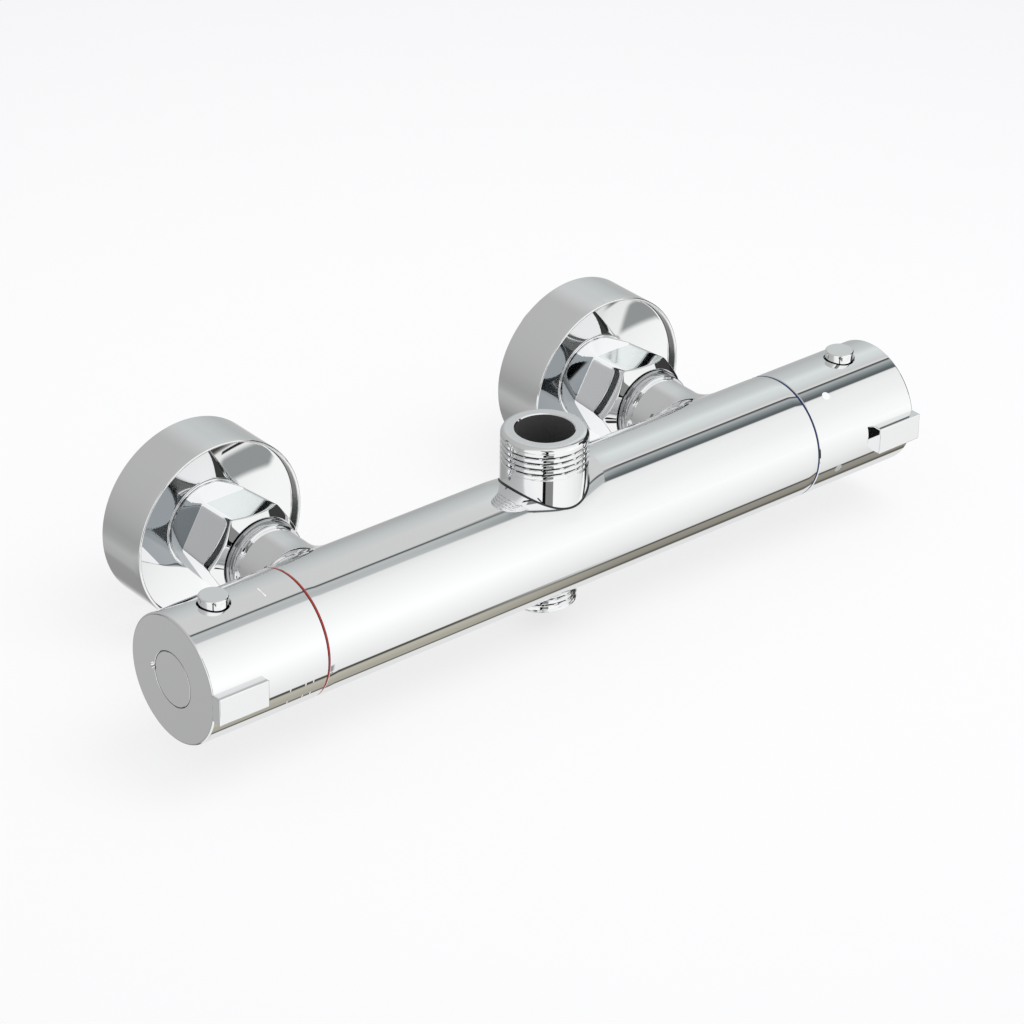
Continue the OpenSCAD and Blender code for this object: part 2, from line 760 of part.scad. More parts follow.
// wax element with the shuttle ring that closes one water way as it opens the other
bulb_start_gap = 5.85 * mm;
bulb_start = thermo_in + bulb_start_gap;
bulb_end_gap = 0.4 * mm;
bulb_end = bonnet_in + bulb_end_gap;
shuttle_start_gap = 16.05 * mm;
shuttle_start = thermo_in + shuttle_start_gap;
shuttle_end_gap = 9.8 * mm;
shuttle_end = shuttle_start + shuttle_end_gap;
stem_neck_r = 2.2 * mm;
head_start_gap = 4.2 * mm;
head_start = bonnet_in + head_start_gap;
head_end_gap = 5 * mm;
head_end = bonnet_out - head_end_gap;
head_r_gap = 0.1 * mm;
head_r = cup_r - head_r_gap - run_gap;
shuttle_hole_r = 1.7 * mm;
shuttle_hole_off = 8 * mm;

module thermo_element() {
    color(brass_c) at_end(-1) difference() {
        union() {
            rod_x(bulb_start, bulb_end, bulb_r);
            rod_x(shuttle_start, shuttle_end, shuttle_r);
            rod_x(bulb_end - edge, head_start + edge, stem_neck_r);
            rod_x(head_start, head_end, head_r);
        }
        for (k = [0 : 5]) translate([shuttle_start - lead, axis_y, axis_z]) rotate([k * 60, 0, 0])
            translate([0, shuttle_hole_off, 0]) rotate([0, 90, 0])
                cylinder(h = shuttle_end - shuttle_start + 2 * lead, r = shuttle_hole_r);
    }
}

spring_start_gap = 3.85 * mm;
spring_start = thermo_in + spring_start_gap;
return_coil_r_gap = 2.4 * mm;
return_coil_r = thermo_wall_r - return_coil_r_gap;
return_wire = 0.7 * mm;

module thermo_return_spring() {
    color(steel_c) at_end(-1) translate([spring_start, axis_y, axis_z]) rotate([0, 90, 0])
        ring_stack(10, return_coil_r, return_wire);
}

// toothed stop ring on a cartridge's nose with one lug that hangs inward
stop_start_gap = 2.6 * mm;
stop_start = bar_half + stop_start_gap;
stop_end_gap = 7.5 * mm;
stop_end = button_x - stop_end_gap;
stop_r_gap = 4.3 * mm;
stop_r = shell_in_r - stop_r_gap;
stop_hollow_r_gap = 1.3 * mm;
stop_hollow_r = stop_r - stop_hollow_r_gap;
stop_step_gap = 2.6 * mm;
stop_step = bonnet_out - stop_step_gap;
lug_start_gap = 4 * mm;
lug_start = bonnet_out - lug_start_gap;
lug_l = 7.5 * mm;
lug_w = 3.2 * mm;
lug_h = 4.4 * mm;
lug_low_gap = 0.3 * mm;
lug_low = finger_low + lug_low_gap;

module stop_ring(lug_turn) {
    difference() {
        union() {
            difference() {
                rod_x(stop_start, stop_end, stop_r);
                rod_x(stop_step, stop_end + lead, stop_hollow_r);
            }
            translate([0, axis_y, axis_z]) rotate([lug_turn, 0, 0])
                translate([lug_start, -lug_w / 2, lug_low]) cube([lug_l, lug_w, lug_h]);
        }
        rod_x(stop_start - lead, bonnet_out + edge, bonnet_r + seat_gap);
    }
}

module temperature_stop_ring() {
    color(white_c) at_end(-1) stop_ring(24);
}

module flow_stop_ring() {
    color(white_c) stop_ring(-24);
}

// flow cartridge: plastic housing, two ceramic discs, rubber seat, spindle and screwed cap
disc_r_gap = 1.6 * mm;
disc_r = housing_r - disc_r_gap;
disc_t = 3 * mm;
fixed_start_gap = 2 * mm;
fixed_start = flow_floor + fixed_start_gap;
moving_start = fixed_start + disc_t;
moving_end = moving_start + disc_t;
flow_collar_gap = 4.5 * mm;
flow_collar = bonnet_in - flow_collar_gap;
seal_way_off_gap = 4.4 * mm;
seal_way_off = disc_r - seal_way_off_gap;
seal_way_r = 3 * mm;
disc_way_off_gap = 4.8 * mm;
disc_way_off = disc_r - disc_way_off_gap;
disc_way_r = 2.8 * mm;
pocket_off_gap = 5 * mm;
pocket_off = disc_r - pocket_off_gap;
pocket_d = 1.6 * mm;
drive_off_gap = 2.5 * mm;
drive_off = disc_r - drive_off_gap;
drive_w = 4 * mm;
drive_h = 3 * mm;
drive_play = 0.1 * mm;

module flow_housing() {
    color(grey_c) difference() {
        union() {
            rod_x(flow_floor + side_gap, bonnet_in, housing_r);
            rod_x(flow_collar, bonnet_in, cartridge_bore_r - seat_gap);
        }
        rod_x(flow_floor - lead, bonnet_in + lead, disc_r + seat_gap);
        difference() {
            rod_x(flow_seal_x - seal_wire, flow_seal_x + seal_wire, cartridge_bore_r + lead);
            rod_x(flow_collar, bonnet_in + lead, groove_r);
        }
    }
}

module disc_seal() {
    color(black_c) difference() {
        rod_x(flow_floor + side_gap, fixed_start, disc_r);
        for (p = [[-1, 0], [0, 1], [0, -1]]) translate([0, p[0] * seal_way_off, p[1] * seal_way_off])
            rod_x(flow_floor - lead, fixed_start + lead, seal_way_r);
    }
}

module fixed_disc() {
    color([0.93, 0.92, 0.88]) difference() {
        rod_x(fixed_start, moving_start, disc_r);
        for (p = [[-1, 0], [0, 1], [0, -1]]) translate([0, p[0] * disc_way_off, p[1] * disc_way_off])
            rod_x(fixed_start - lead, moving_start + lead, disc_way_r);
    }
}

// turning disc with two drive slots and a pocket that joins the mixed water to one outlet
module moving_disc() {
    color([0.93, 0.92, 0.88]) difference() {
        rod_x(moving_start, moving_end, disc_r - run_gap);
        for (turn = [20, 45, 70]) translate([0, axis_y, axis_z]) rotate([turn, 0, 0])
            translate([moving_start - lead, pocket_off, 0]) rotate([0, 90, 0])
                cylinder(h = lead + pocket_d, r = disc_way_r);
        for (side_share = [-1, 1]) block(moving_start + pocket_d, moving_end + lead, -drive_w / 2, drive_w / 2,
            side_share * drive_off - drive_h / 2, side_share * drive_off + drive_h / 2);
    }
}

module flow_spindle() {
    color(brass_c) difference() {
        union() {
            rod_x(moving_end, bonnet_in - side_gap, disc_r - 2 * run_gap);
            rod_x(moving_end, nose_end, nose_r);
            for (side_share = [-1, 1]) block(moving_start + pocket_d + drive_play, moving_end + edge,
                -drive_w / 2 + drive_play, drive_w / 2 - drive_play,
                side_share * drive_off - drive_h / 2 + drive_play, side_share * drive_off + drive_h / 2 - drive_play);
            spline();
        }
        rod_x(tapped_start, socket_end + lead, tapped_r);
    }
}

module flow_bonnet() {
    color(brass_c) difference() {
        union() {
            rod_x(bonnet_in, bonnet_in + bonnet_collar_l, cartridge_bore_r - seat_gap);
            rod_x(bonnet_in, bonnet_out, bonnet_r);
        }
        rod_x(bonnet_in - lead, bonnet_out + lead, nose_r + run_gap);
    }
}

// handle shell with its end wall, splined hub, button well and thumb tab, drawn for the right end
hub_out_r = 6.2 * mm;
well_r = 6.9 * mm;
button_flange_r = 5.6 * mm;
well_bore_r = button_flange_r + run_gap;
guide_t = 1 * mm;
screw_hole_r = 2 * mm;
head_hole_start_gap = 4 * mm;
head_hole_start = socket_end + head_hole_start_gap;
head_hole_r = 4.2 * mm;
head_end_x_gap = 7 * mm;
head_end_x = socket_end + head_end_x_gap;
screw_head_r = 3.6 * mm;
screw_start_gap = 7.5 * mm;
screw_start = socket_end - screw_start_gap;
drive_cut_gap = 5.8 * mm;
drive_cut = socket_end + drive_cut_gap;
cut_reach = 3 * mm;
plug_stub_gap = 0.4 * mm;
plug_stub = head_end_x + plug_stub_gap;
plug_hollow_r = 3 * mm;
notch_off_gap = 0.8 * mm;
notch_off = plug_r + notch_off_gap;
finger_start_gap = 10.8 * mm;
finger_start = button_x - finger_start_gap;
finger_w = 3 * mm;
finger_t = 1.5 * mm;
stem_play = 0.2 * mm;
button_coil_r = 3.9 * mm;
button_wire = 0.45 * mm;
finger_stem_r = 2 * mm;
tab_round = 0.5 * mm;
tab_root = bar_r - shell_t / 2;

module tab_shape() {
    pts = concat(
        [[tab_low, -tab_root], [-tab_high, -tab_root]],
        [for (t = [0 : 30 : 90]) [-tab_high + tab_round * (1 - cos(t)), -tab_reach + tab_round * (1 - sin(t))]],
        [for (t = [90 : -30 : 0]) [tab_low - tab_round * (1 - cos(t)), -tab_reach + tab_round * (1 - sin(t))]]);
    translate([tab_start, axis_y, axis_z]) rotate([0, 90, 0])
        linear_extrude(height = overall_half - tab_start) polygon(pts);
}

module handle() {
    difference() {
        union() {
            difference() {
                union() {
                    rod_x(handle_start, overall_half - edge, bar_r);
                    cone_x(overall_half - edge, overall_half, bar_r, bar_r - edge);
                    tab_shape();
                }
                rod_x(handle_start - lead, end_in, shell_in_r);
            }
            rod_x(hub_start, end_in + lead, hub_out_r);
            rod_z(button_x, well_low, shell_in_r + shell_t / 4, well_r);
        }
        // spline socket and screw hole
        translate([hub_start - lead, axis_y, axis_z]) rotate([0, 90, 0])
            cylinder(h = socket_end + side_gap - hub_start + lead, r = spindle_r + seat_gap, $fn = 12);
        rod_x(socket_end - lead, overall_half + lead, screw_hole_r);
        rod_x(head_hole_start, overall_half + lead, head_hole_r);
        rod_x(overall_half - plug_t, overall_half + lead, plug_r + seat_gap);
        translate([0, notch_off, 0]) rod_x(overall_half - plug_t / 2, overall_half + lead, notch_r);
        // button well and hole
        rod_z(button_x, well_low - lead, flange_high + free_gap, well_bore_r);
        rod_z(button_x, well_low, bar_r + lead, button_hole_r);
    }
}

module temperature_handle() {
    color(chrome_c) at_end(-1) handle();
}

module flow_handle() {
    color(chrome_c) handle();
}

module handle_screw() {
    difference() {
        union() {
            rod_x(screw_start, head_hole_start + lead, tapped_r - seat_gap);
            rod_x(head_hole_start, head_end_x, screw_head_r);
        }
        block(drive_cut, head_end_x + lead, -cut_reach, cut_reach, -edge, edge);
        block(drive_cut, head_end_x + lead, -edge, edge, -cut_reach, cut_reach);
    }
}

module temperature_screw() {
    color(steel_c) at_end(-1) handle_screw();
}

module flow_screw() {
    color(steel_c) handle_screw();
}

module end_plug() {
    difference() {
        union() {
            rod_x(overall_half - plug_t, overall_half, plug_r);
            rod_x(plug_stub, overall_half - plug_t, head_hole_r - seat_gap);
        }
        rod_x(plug_stub - lead, overall_half - plug_t - edge, plug_hollow_r);
        translate([0, notch_off, 0]) rod_x(overall_half - plug_t / 2, overall_half + lead, notch_r);
    }
}

module temperature_plug() {
    color(chrome_c) at_end(-1) end_plug();
}

module flow_plug() {
    color(chrome_c) end_plug();
}

// button with its retaining flange, its stem and the finger that meets the stop ring's lug
module button() {
    union() {
        rod_z(button_x, flange_high - edge, button_top - edge, button_r);
        cone_z(button_x, button_top - edge, button_top, button_r, button_r - edge);
        rod_z(button_x, flange_low, flange_high, button_flange_r);
        rod_z(button_x, finger_low + stem_play, flange_low + edge, finger_stem_r);
        block(finger_start, button_x, -finger_w / 2, finger_w / 2, finger_low, finger_low + finger_t);
    }
}

module safety_button() {
    color(chrome_c) at_end(-1) button();
}

module eco_button() {
    color(chrome_c) button();
}

// slotted plate pressed into the bottom of the button well
module button_guide() {
    difference() {
        rod_z(button_x, well_low, well_low + guide_t, well_bore_r - seat_gap);
        rod_z(button_x, well_low - lead, well_low + guide_t + lead, finger_stem_r + run_gap);
    }
}

module safety_guide() {
    color(white_c) at_end(-1) button_guide();
}

module eco_guide() {
    color(white_c) button_guide();
}

module button_spring() {
    translate([button_x, axis_y, axis_z + well_low + guide_t]) ring_stack(5, button_coil_r, button_wire);
}

module safety_spring() {
    color(steel_c) at_end(-1) button_spring();
}

module eco_spring() {
    color(steel_c) button_spring();
}

// flat sealing rings under the outlets
module outlet_seals() {
    color(black_c) difference() {
        rod_z(0, top_seat + seat_gap, top_seat + seal_t, top_r - relief_d);
        rod_z(0, top_seat - lead, top_seat + 2 * lead, top_bore_r);
    }
}

bar_body();
top_outlet();
bottom_outlet();
temperature_ring();
flow_ring();
outlet_seals();
tailpiece_hot();
tailpiece_cold();
snap_rings();
union_nut_hot();
union_nut_cold();
filter_washer_hot();
filter_washer_cold();
eccentric_union_hot();
eccentric_union_cold();
flange_hot();
flange_cold();
check_housing_hot();
check_housing_cold();
check_poppet_hot();
check_poppet_cold();
check_spring_hot();
check_spring_cold();
thermo_housing();
thermo_bonnet();
thermo_spindle();
thermo_element();
thermo_return_spring();
cartridge_seals();
temperature_stop_ring();
flow_housing();
flow_bonnet();
flow_spindle();
moving_disc();
fixed_disc();
disc_seal();
flow_stop_ring();
temperature_handle();
temperature_screw();
temperature_plug();
safety_button();
safety_spring();
safety_guide();
flow_handle();
flow_screw();
flow_plug();
eco_button();
eco_spring();
eco_guide();
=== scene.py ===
import math

import bpy
from mathutils import Matrix, Vector


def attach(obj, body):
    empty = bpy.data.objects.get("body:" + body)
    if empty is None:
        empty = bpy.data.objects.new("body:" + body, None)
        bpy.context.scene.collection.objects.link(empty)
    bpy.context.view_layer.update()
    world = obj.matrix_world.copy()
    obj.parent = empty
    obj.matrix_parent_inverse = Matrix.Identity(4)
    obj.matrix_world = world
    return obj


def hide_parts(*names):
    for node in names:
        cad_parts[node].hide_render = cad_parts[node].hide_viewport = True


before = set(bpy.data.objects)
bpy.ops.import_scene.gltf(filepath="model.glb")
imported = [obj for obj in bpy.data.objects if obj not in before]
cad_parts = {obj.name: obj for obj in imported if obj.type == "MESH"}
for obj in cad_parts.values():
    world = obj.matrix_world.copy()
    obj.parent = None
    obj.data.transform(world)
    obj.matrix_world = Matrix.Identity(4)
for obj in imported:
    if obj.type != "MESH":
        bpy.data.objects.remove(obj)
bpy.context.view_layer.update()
bpy.ops.object.select_all(action="DESELECT")

# Camera. The valve is seen from its left and from above through a long lens, in a square frame of 1024 pixels.
# The bar's axis lies 76.3 mm in front of the wall and 5 mm under the pipes, and the camera looks at a point
# close above it, just left of the outlets.
AXIS_Y, AXIS_Z = -0.0763, -0.005
CAMERA_AWAY, FOCAL_PIXELS, FRAME_PIXELS, SENSOR_MM = 1.176548, 4031.483, 1024, 36
azimuth, elevation, roll = math.radians(-40.0881), math.radians(29.7135), math.radians(0.99145)
look_at = Vector((-0.0119546, AXIS_Y, AXIS_Z + 0.0104891))
back = Vector((math.sin(azimuth) * math.cos(elevation), -math.cos(azimuth) * math.cos(elevation),
               math.sin(elevation)))
right = Vector((math.cos(azimuth), math.sin(azimuth), 0))
up = back.cross(right)
right_rolled = right * math.cos(roll) + up * math.sin(roll)
up_rolled = up * math.cos(roll) - right * math.sin(roll)
bpy.ops.object.camera_add(location=look_at + back * CAMERA_AWAY)
camera = bpy.context.object
camera.name = "camera"
camera.rotation_euler = Matrix((right_rolled, up_rolled, back)).transposed().to_euler()
camera.data.sensor_width = SENSOR_MM
camera.data.lens = FOCAL_PIXELS / FRAME_PIXELS * SENSOR_MM
camera.data.clip_start, camera.data.clip_end = 0.05, 20
bpy.context.scene.camera = camera
bpy.context.scene.view_settings.view_transform = "Standard"


# Light tent. White panels in front and overhead with a narrow dark gap between them, a grey wall behind and the
# shaded table underneath. Chrome shows each panel by its direction: its angle round the bar's axis, 0 degrees
# in front, 90 overhead, 180 behind and 270 underneath, and how far to the right it lies, from -1 to 1.
COOL, TEAL, WARM = (0.98, 1.0, 1.002), (0.945, 1.0, 1.01), (1.02, 1.0, 0.93)
FLAG_SOFT, FILL_COLOUR, FILL_STRENGTH = 0.02, (1, 1, 1.01, 1), 0.86


def tone(grey, tint=(1, 1, 1)):
    """A grey as seen on screen, 0 to 255, as the light that gives it."""
    return [((grey * t / 255 + 0.055) / 1.055) ** 2.4 for t in tint] + [1]


def add_node(tree, kind, inputs=None, **settings):
    """A new node with its settings, and with a plain value or a link for each named or numbered input."""
    node = tree.nodes.new(kind)
    for key, value in settings.items():
        setattr(node, key, value)
    for socket, value in (inputs or {}).items():
        if isinstance(value, bpy.types.NodeSocket):
            tree.links.new(value, node.inputs[socket])
        else:
            node.inputs[socket].default_value = value
    return node


studio = bpy.data.worlds.new("studio")
bpy.context.scene.world = studio
studio.use_nodes = True
tent_nodes = studio.node_tree
tent_nodes.nodes.clear()


def tent_math(operation, *values):
    return add_node(tent_nodes, "ShaderNodeMath", dict(enumerate(values)), operation=operation).outputs[0]


direction = add_node(tent_nodes, "ShaderNodeTexCoord").outputs["Generated"]
split = add_node(tent_nodes, "ShaderNodeSeparateXYZ", {0: direction})
rightwards = split.outputs["X"]
turn = tent_math("ARCTAN2", split.outputs["Z"], tent_math("MULTIPLY", split.outputs["Y"], -1))
turn = tent_math("FRACT", tent_math("ADD", tent_math("DIVIDE", turn, 2 * math.pi), 1))


def panels(*stops):
    """A ring of panels round the bar, from stops of (degrees, grey) or (degrees, grey, tint)."""
    ramp = add_node(tent_nodes, "ShaderNodeValToRGB", {0: turn})
    ramp.color_ramp.interpolation = "LINEAR"
    points = ramp.color_ramp.elements
    points[0].color, points[1].color = tone(*stops[0][1:]), tone(*stops[-1][1:])
    for degrees, *light in stops[1:-1]:
        points.new(degrees / 360).color = tone(*light)
    return ramp.outputs[0]


right_front_panels = panels(
    (0, 262), (20, 256), (40, 249), (62, 240), (75.6, 230), (77, 190, COOL), (84, 184, COOL),
    (91.2, 194, COOL), (92.2, 86, TEAL), (94.6, 86, TEAL), (95.8, 208), (130, 208), (145, 202, COOL),
    (178, 178, COOL), (197, 172), (205, 205), (217, 226), (260, 229), (261.6, 100, WARM), (264.4, 92, WARM),
    (267, 166, WARM), (276, 170, WARM), (290, 186, WARM), (293, 64, WARM), (296.4, 64, WARM), (298, 234),
    (318, 242), (335, 250), (360, 262))
right_end_panels = panels(
    (0, 256), (20, 252), (40, 245), (62, 241), (74.2, 235), (76, 92, TEAL), (80, 104, TEAL), (87, 146, TEAL),
    (92, 176, COOL), (93.6, 180, COOL), (94.6, 72, TEAL), (97, 72, TEAL), (98.4, 222), (103, 206),
    (112, 216, COOL), (128, 226, COOL), (143, 205, COOL), (178, 184, COOL), (200, 184), (217, 226), (259, 227),
    (261, 110, WARM), (266, 84, WARM), (268.4, 116, WARM), (272, 138, WARM), (287, 150, WARM), (289, 72, WARM),
    (291.4, 72, WARM), (293.4, 224), (318, 240), (360, 258))
left_side_panels = panels(
    (0, 250), (60, 246), (77, 200), (100, 190), (132, 183), (145, 181), (160, 178), (182, 170), (202, 157),
    (209, 162), (215, 179), (220, 172), (226, 147), (240, 150), (252, 226), (285, 246), (360, 250))
middle_panels = panels(
    (0, 252), (60, 247), (78, 204), (100, 192), (132, 183), (145, 181), (160, 178), (182, 172), (202, 158),
    (215, 160), (226, 146), (238, 150), (243, 60), (247, 60), (250, 236), (300, 250), (360, 252))


def smooth_step(tree, value, low, high):
    """0 up to low, 1 from high, and a smooth slope between them."""
    return add_node(tree, "ShaderNodeMapRange", {"From Min": low, "From Max": high, "Value": value},
                    interpolation_type="SMOOTHSTEP").outputs[0]


def mixed_colour(tree, share, a, b):
    both = add_node(tree, "ShaderNodeMix", {"Factor": share, "A": a, "B": b}, data_type="RGBA")
    return both.outputs["Result"]


def blend_by_side(low, high, a, b):
    """Goes from one set of panels to another by how far to the right a direction points."""
    return mixed_colour(tent_nodes, smooth_step(tent_nodes, rightwards, low, high), a, b)


def flag(behind, x_low, x_high, from_degrees, to_degrees, light, soft=FLAG_SOFT):
    """Hangs a flag in the tent, between two places across and two angles round the bar."""
    share = None
    for value, low, high, fade in ((rightwards, x_low, x_high, soft),
                                   (turn, from_degrees / 360, to_degrees / 360, soft / 4)):
        for start, end in ((low - fade, low), (high + fade, high)):
            edge = smooth_step(tent_nodes, value, start, end)
            share = edge if share is None else tent_math("MULTIPLY", share, edge)
    return mixed_colour(tent_nodes, share, behind, light)


tent = blend_by_side(-0.36, -0.26, left_side_panels, middle_panels)
tent = blend_by_side(0.08, 0.46, tent, right_front_panels)
tent = blend_by_side(0.535, 0.585, tent, right_end_panels)
for from_degrees, to_degrees in ((318, 360), (0, 57)):
    tent = flag(tent, -0.585, -0.505, from_degrees, to_degrees, tone(14))  # black, in front on the left
for from_degrees, to_degrees in ((321, 333), (19, 50)):
    tent = flag(tent, -0.49, -0.25, from_degrees, to_degrees, tone(134))  # grey, in front
tent = flag(tent, -0.69, -0.61, 326, 354, tone(20))  # black, low in front on the left
tent = flag(tent, 0.91, 1.1, 0, 360, tone(40))  # dark, the far right
tent = flag(tent, 0.74, 1.1, 238, 268, tone(40))  # dark, under the right end
tent = flag(tent, 0.79, 1.1, 14, 64, tone(60))  # dark, in front on the right
tent = flag(tent, -0.575, -0.46, 156, 204, tone(112, COOL), 0.012)  # grey, behind on the left
tent = flag(tent, 0.2, 0.43, 304, 313, tone(150, COOL), 0.04)  # a soft grey band low in front
tent = flag(tent, 0.2, 0.45, 298.6, 299.6, tone(40), 0.006)  # a thin dark line just under that band

seen_in_chrome = add_node(tent_nodes, "ShaderNodeBackground", {"Color": tent})
soft_light = add_node(tent_nodes, "ShaderNodeBackground", {"Color": FILL_COLOUR, "Strength": FILL_STRENGTH})
rays = add_node(tent_nodes, "ShaderNodeLightPath")
light_mix = add_node(tent_nodes, "ShaderNodeMixShader", {
    0: rays.outputs["Is Glossy Ray"], 1: soft_light.outputs[0], 2: seen_in_chrome.outputs[0]})
add_node(tent_nodes, "ShaderNodeOutputWorld", {0: light_mix.outputs[0]})

PANEL_AT, PANEL_OVER, PANEL_WIDE, PANEL_WATTS = (0.35, -0.45, 1.1), (-0.02, -0.06, 0), 0.9, 4.5
bpy.ops.object.light_add(type="AREA", location=PANEL_AT)
overhead = bpy.context.object
overhead.name = "overhead_panel"
overhead.data.shape, overhead.data.size = "DISK", PANEL_WIDE
overhead.data.energy = PANEL_WATTS
overhead.rotation_euler = (Vector(PANEL_OVER) - overhead.location).to_track_quat("-Z", "Y").to_euler()
overhead.visible_glossy = False
overhead.visible_camera = False


# Table. A large sheet of pale paper that glows with painted light: the glow lifts the shadows on it and is
# brighter near the valve than further out, a painted pool of light. The flanges and the bar stand just clear of
# it.
TABLE_SIZE, TABLE_DROP = 8, 0.0295
GLOW_NEAR, GLOW_FAR = (0.715, 0.715, 0.719, 1), (0.625, 0.625, 0.636, 1)
GLOW_FADE_START, GLOW_FADE_END = 0.1, 0.75


def new_material(name):
    made = bpy.data.materials.new(name)
    made.use_nodes = True
    return made, made.node_tree, made.node_tree.nodes["Principled BSDF"]


bpy.ops.mesh.primitive_plane_add(size=TABLE_SIZE, location=(0, 0, AXIS_Z - TABLE_DROP))
table_top = bpy.context.object
table_top.name = "table_top"
paper, tree, sheet = new_material("paper_with_painted_glow")
sheet.inputs["Base Color"].default_value = (0.25, 0.25, 0.255, 1)
sheet.inputs["Roughness"].default_value = 0.9
sheet.inputs["Specular IOR Level"].default_value = 0
sheet.inputs["Emission Strength"].default_value = 1
place = add_node(tree, "ShaderNodeTexCoord").outputs["Object"]
away = add_node(tree, "ShaderNodeVectorMath", {0: place}, operation="LENGTH").outputs["Value"]
# painted light: the sheet's own glow, brightest round the valve, a painted pool of light that lifts the shadows
# on it
glow = mixed_colour(tree, smooth_step(tree, away, GLOW_FADE_START, GLOW_FADE_END), GLOW_NEAR, GLOW_FAR)
tree.links.new(glow, sheet.inputs["Emission Color"])
table_top.data.materials.append(paper)
table_top.visible_glossy = False


# Chrome and mouldings. Bright chrome on polished brass is a hard mirror whose polish wanders a little, with a
# faint haze from wiping. The plastics and enamels are moulded or run in, so they are finely mottled and grained.
POLISH_WAVES, MOULD_GRAIN = 90, 900

polish = bpy.data.node_groups.new("hand_polish", "ShaderNodeTree")
for label in ("Size", "Roughness", "Haze", "Wave"):
    polish.interface.new_socket(label, in_out="INPUT", socket_type="NodeSocketFloat")
polish.interface.new_socket("Roughness", in_out="OUTPUT", socket_type="NodeSocketFloat")
polish.interface.new_socket("Normal", in_out="OUTPUT", socket_type="NodeSocketVector")
given = add_node(polish, "NodeGroupInput").outputs
place = add_node(polish, "ShaderNodeTexCoord").outputs["Object"]
scaled = add_node(polish, "ShaderNodeVectorMath", {0: place, "Scale": given["Size"]}, operation="SCALE")
haze = add_node(polish, "ShaderNodeTexNoise", {"Vector": scaled.outputs[0], "Detail": 4}).outputs["Fac"]
amount = add_node(polish, "ShaderNodeMath", {0: haze, 1: given["Haze"], 2: given["Roughness"]},
                  operation="MULTIPLY_ADD")
wave = add_node(polish, "ShaderNodeTexNoise", {"Vector": place, "Scale": POLISH_WAVES, "Detail": 1})
bump = add_node(polish, "ShaderNodeBump", {"Strength": 1, "Height": wave.outputs["Fac"],
                                           "Distance": given["Wave"]})
add_node(polish, "NodeGroupOutput", {"Roughness": amount.outputs[0], "Normal": bump.outputs[0]})


def polished(name, colour, roughness, haze_amount, wave_height=0.000002, size=60):
    """A metal finish: its roughness, what its haze adds to that, the height of its waves, its haze's fineness."""
    made, tree, shader = new_material(name)
    shader.inputs["Base Color"].default_value = colour
    shader.inputs["Metallic"].default_value = 1
    work = add_node(tree, "ShaderNodeGroup", {"Size": size, "Roughness": roughness, "Haze": haze_amount,
                                              "Wave": wave_height}, node_tree=polish)
    tree.links.new(work.outputs["Roughness"], shader.inputs["Roughness"])
    tree.links.new(work.outputs["Normal"], shader.inputs["Normal"])
    return made


chrome = polished("bright_chrome", (0.945, 0.95, 0.955, 1), 0.015, 0.02)


def moulded(name, colour, roughness=0.3, grain_height=0.00002, spread=0.12):
    """A moulded finish: its colour with the spread of its mottling, its roughness, the height of its grain."""
    made, tree, shader = new_material(name)
    place = add_node(tree, "ShaderNodeTexCoord").outputs["Object"]
    noise = add_node(tree, "ShaderNodeTexNoise", {"Vector": place, "Scale": MOULD_GRAIN, "Detail": 3})
    mottle = noise.outputs["Fac"]
    darker = (*[c * (1 - spread) for c in colour], 1)
    lighter = (*[min(1, c * (1 + spread)) for c in colour], 1)
    tree.links.new(mixed_colour(tree, mottle, darker, lighter), shader.inputs["Base Color"])
    grain = add_node(tree, "ShaderNodeBump", {"Distance": grain_height, "Height": mottle})
    tree.links.new(grain.outputs[0], shader.inputs["Normal"])
    shader.inputs["Roughness"].default_value = roughness
    return made


# Bar casting. One brass casting, turned round outside and chromed, with an arm to each wall inlet that spreads
# into the bar with a smooth blend. Each end is bored for its cartridge, and the outlets are let into two wells.
BAR_R, BAR_HALF, EDGE = 0.0195, 0.0934, 0.0003
CARTRIDGE_R, CARTRIDGE_LEFT, CARTRIDGE_RIGHT, WATERWAY_R = 0.0155, -0.048, 0.075, 0.0044
ROLL_LONG, ROLL_DEEP, ROLL_ROWS, BAR_ROWS = 0.003, 0.00012, 8, 24
INLET_X, ARM_R, ARM_BORE, ARM_END, ARM_BREAK = 0.075, 0.0114, 0.0083, 0.0338, 0.00035
BLEND_IN, BLEND_OUT, BLEND_Z = 0.010, 0.0058, 0.0046
DIP_R, DIP_WIDE, DIP_DEEP, DIP_CURVE = 0.01303, 0.0065, 0.00055, 2.2
UPPER_BORE, LOWER_BORE, WELL_START, WELL_END = 0.0088, 0.0074, 0.0058, 0.022
SPOT_FACE_R, SPOT_FACE, BORE_CLEAR = 0.013, 0.016, 0.0001


def select_only(*pieces):
    bpy.ops.object.select_all(action="DESELECT")
    for piece in pieces:
        piece.select_set(True)
    bpy.context.view_layer.objects.active = pieces[0]


def join(name, pieces):
    select_only(*pieces)
    if len(pieces) > 1:
        bpy.ops.object.join()
    joined = bpy.context.object
    joined.name = joined.data.name = name
    bpy.ops.object.transform_apply(location=True, rotation=True, scale=True)
    return joined


def finish_piece(piece, body, nodes, material, smooth):
    """Smooths a piece's edges up to so many degrees, gives it its finish and ties it to the part."""
    select_only(piece)
    bpy.ops.object.shade_smooth_by_angle(angle=math.radians(smooth))
    piece.data.materials.clear()
    piece.data.materials.append(material)
    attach(piece, body)
    if nodes:
        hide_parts(*nodes)


def coat(piece, material, picks, centre_x=0):
    """Adds a finish for the faces that picks(middle, normal) chooses, seen from the bar's axis at centre_x."""
    index, centre = len(piece.data.materials), Vector((centre_x, AXIS_Y, AXIS_Z))
    piece.data.materials.append(material)
    for face in piece.data.polygons:
        if picks(face.center - centre, face.normal):
            face.material_index = index


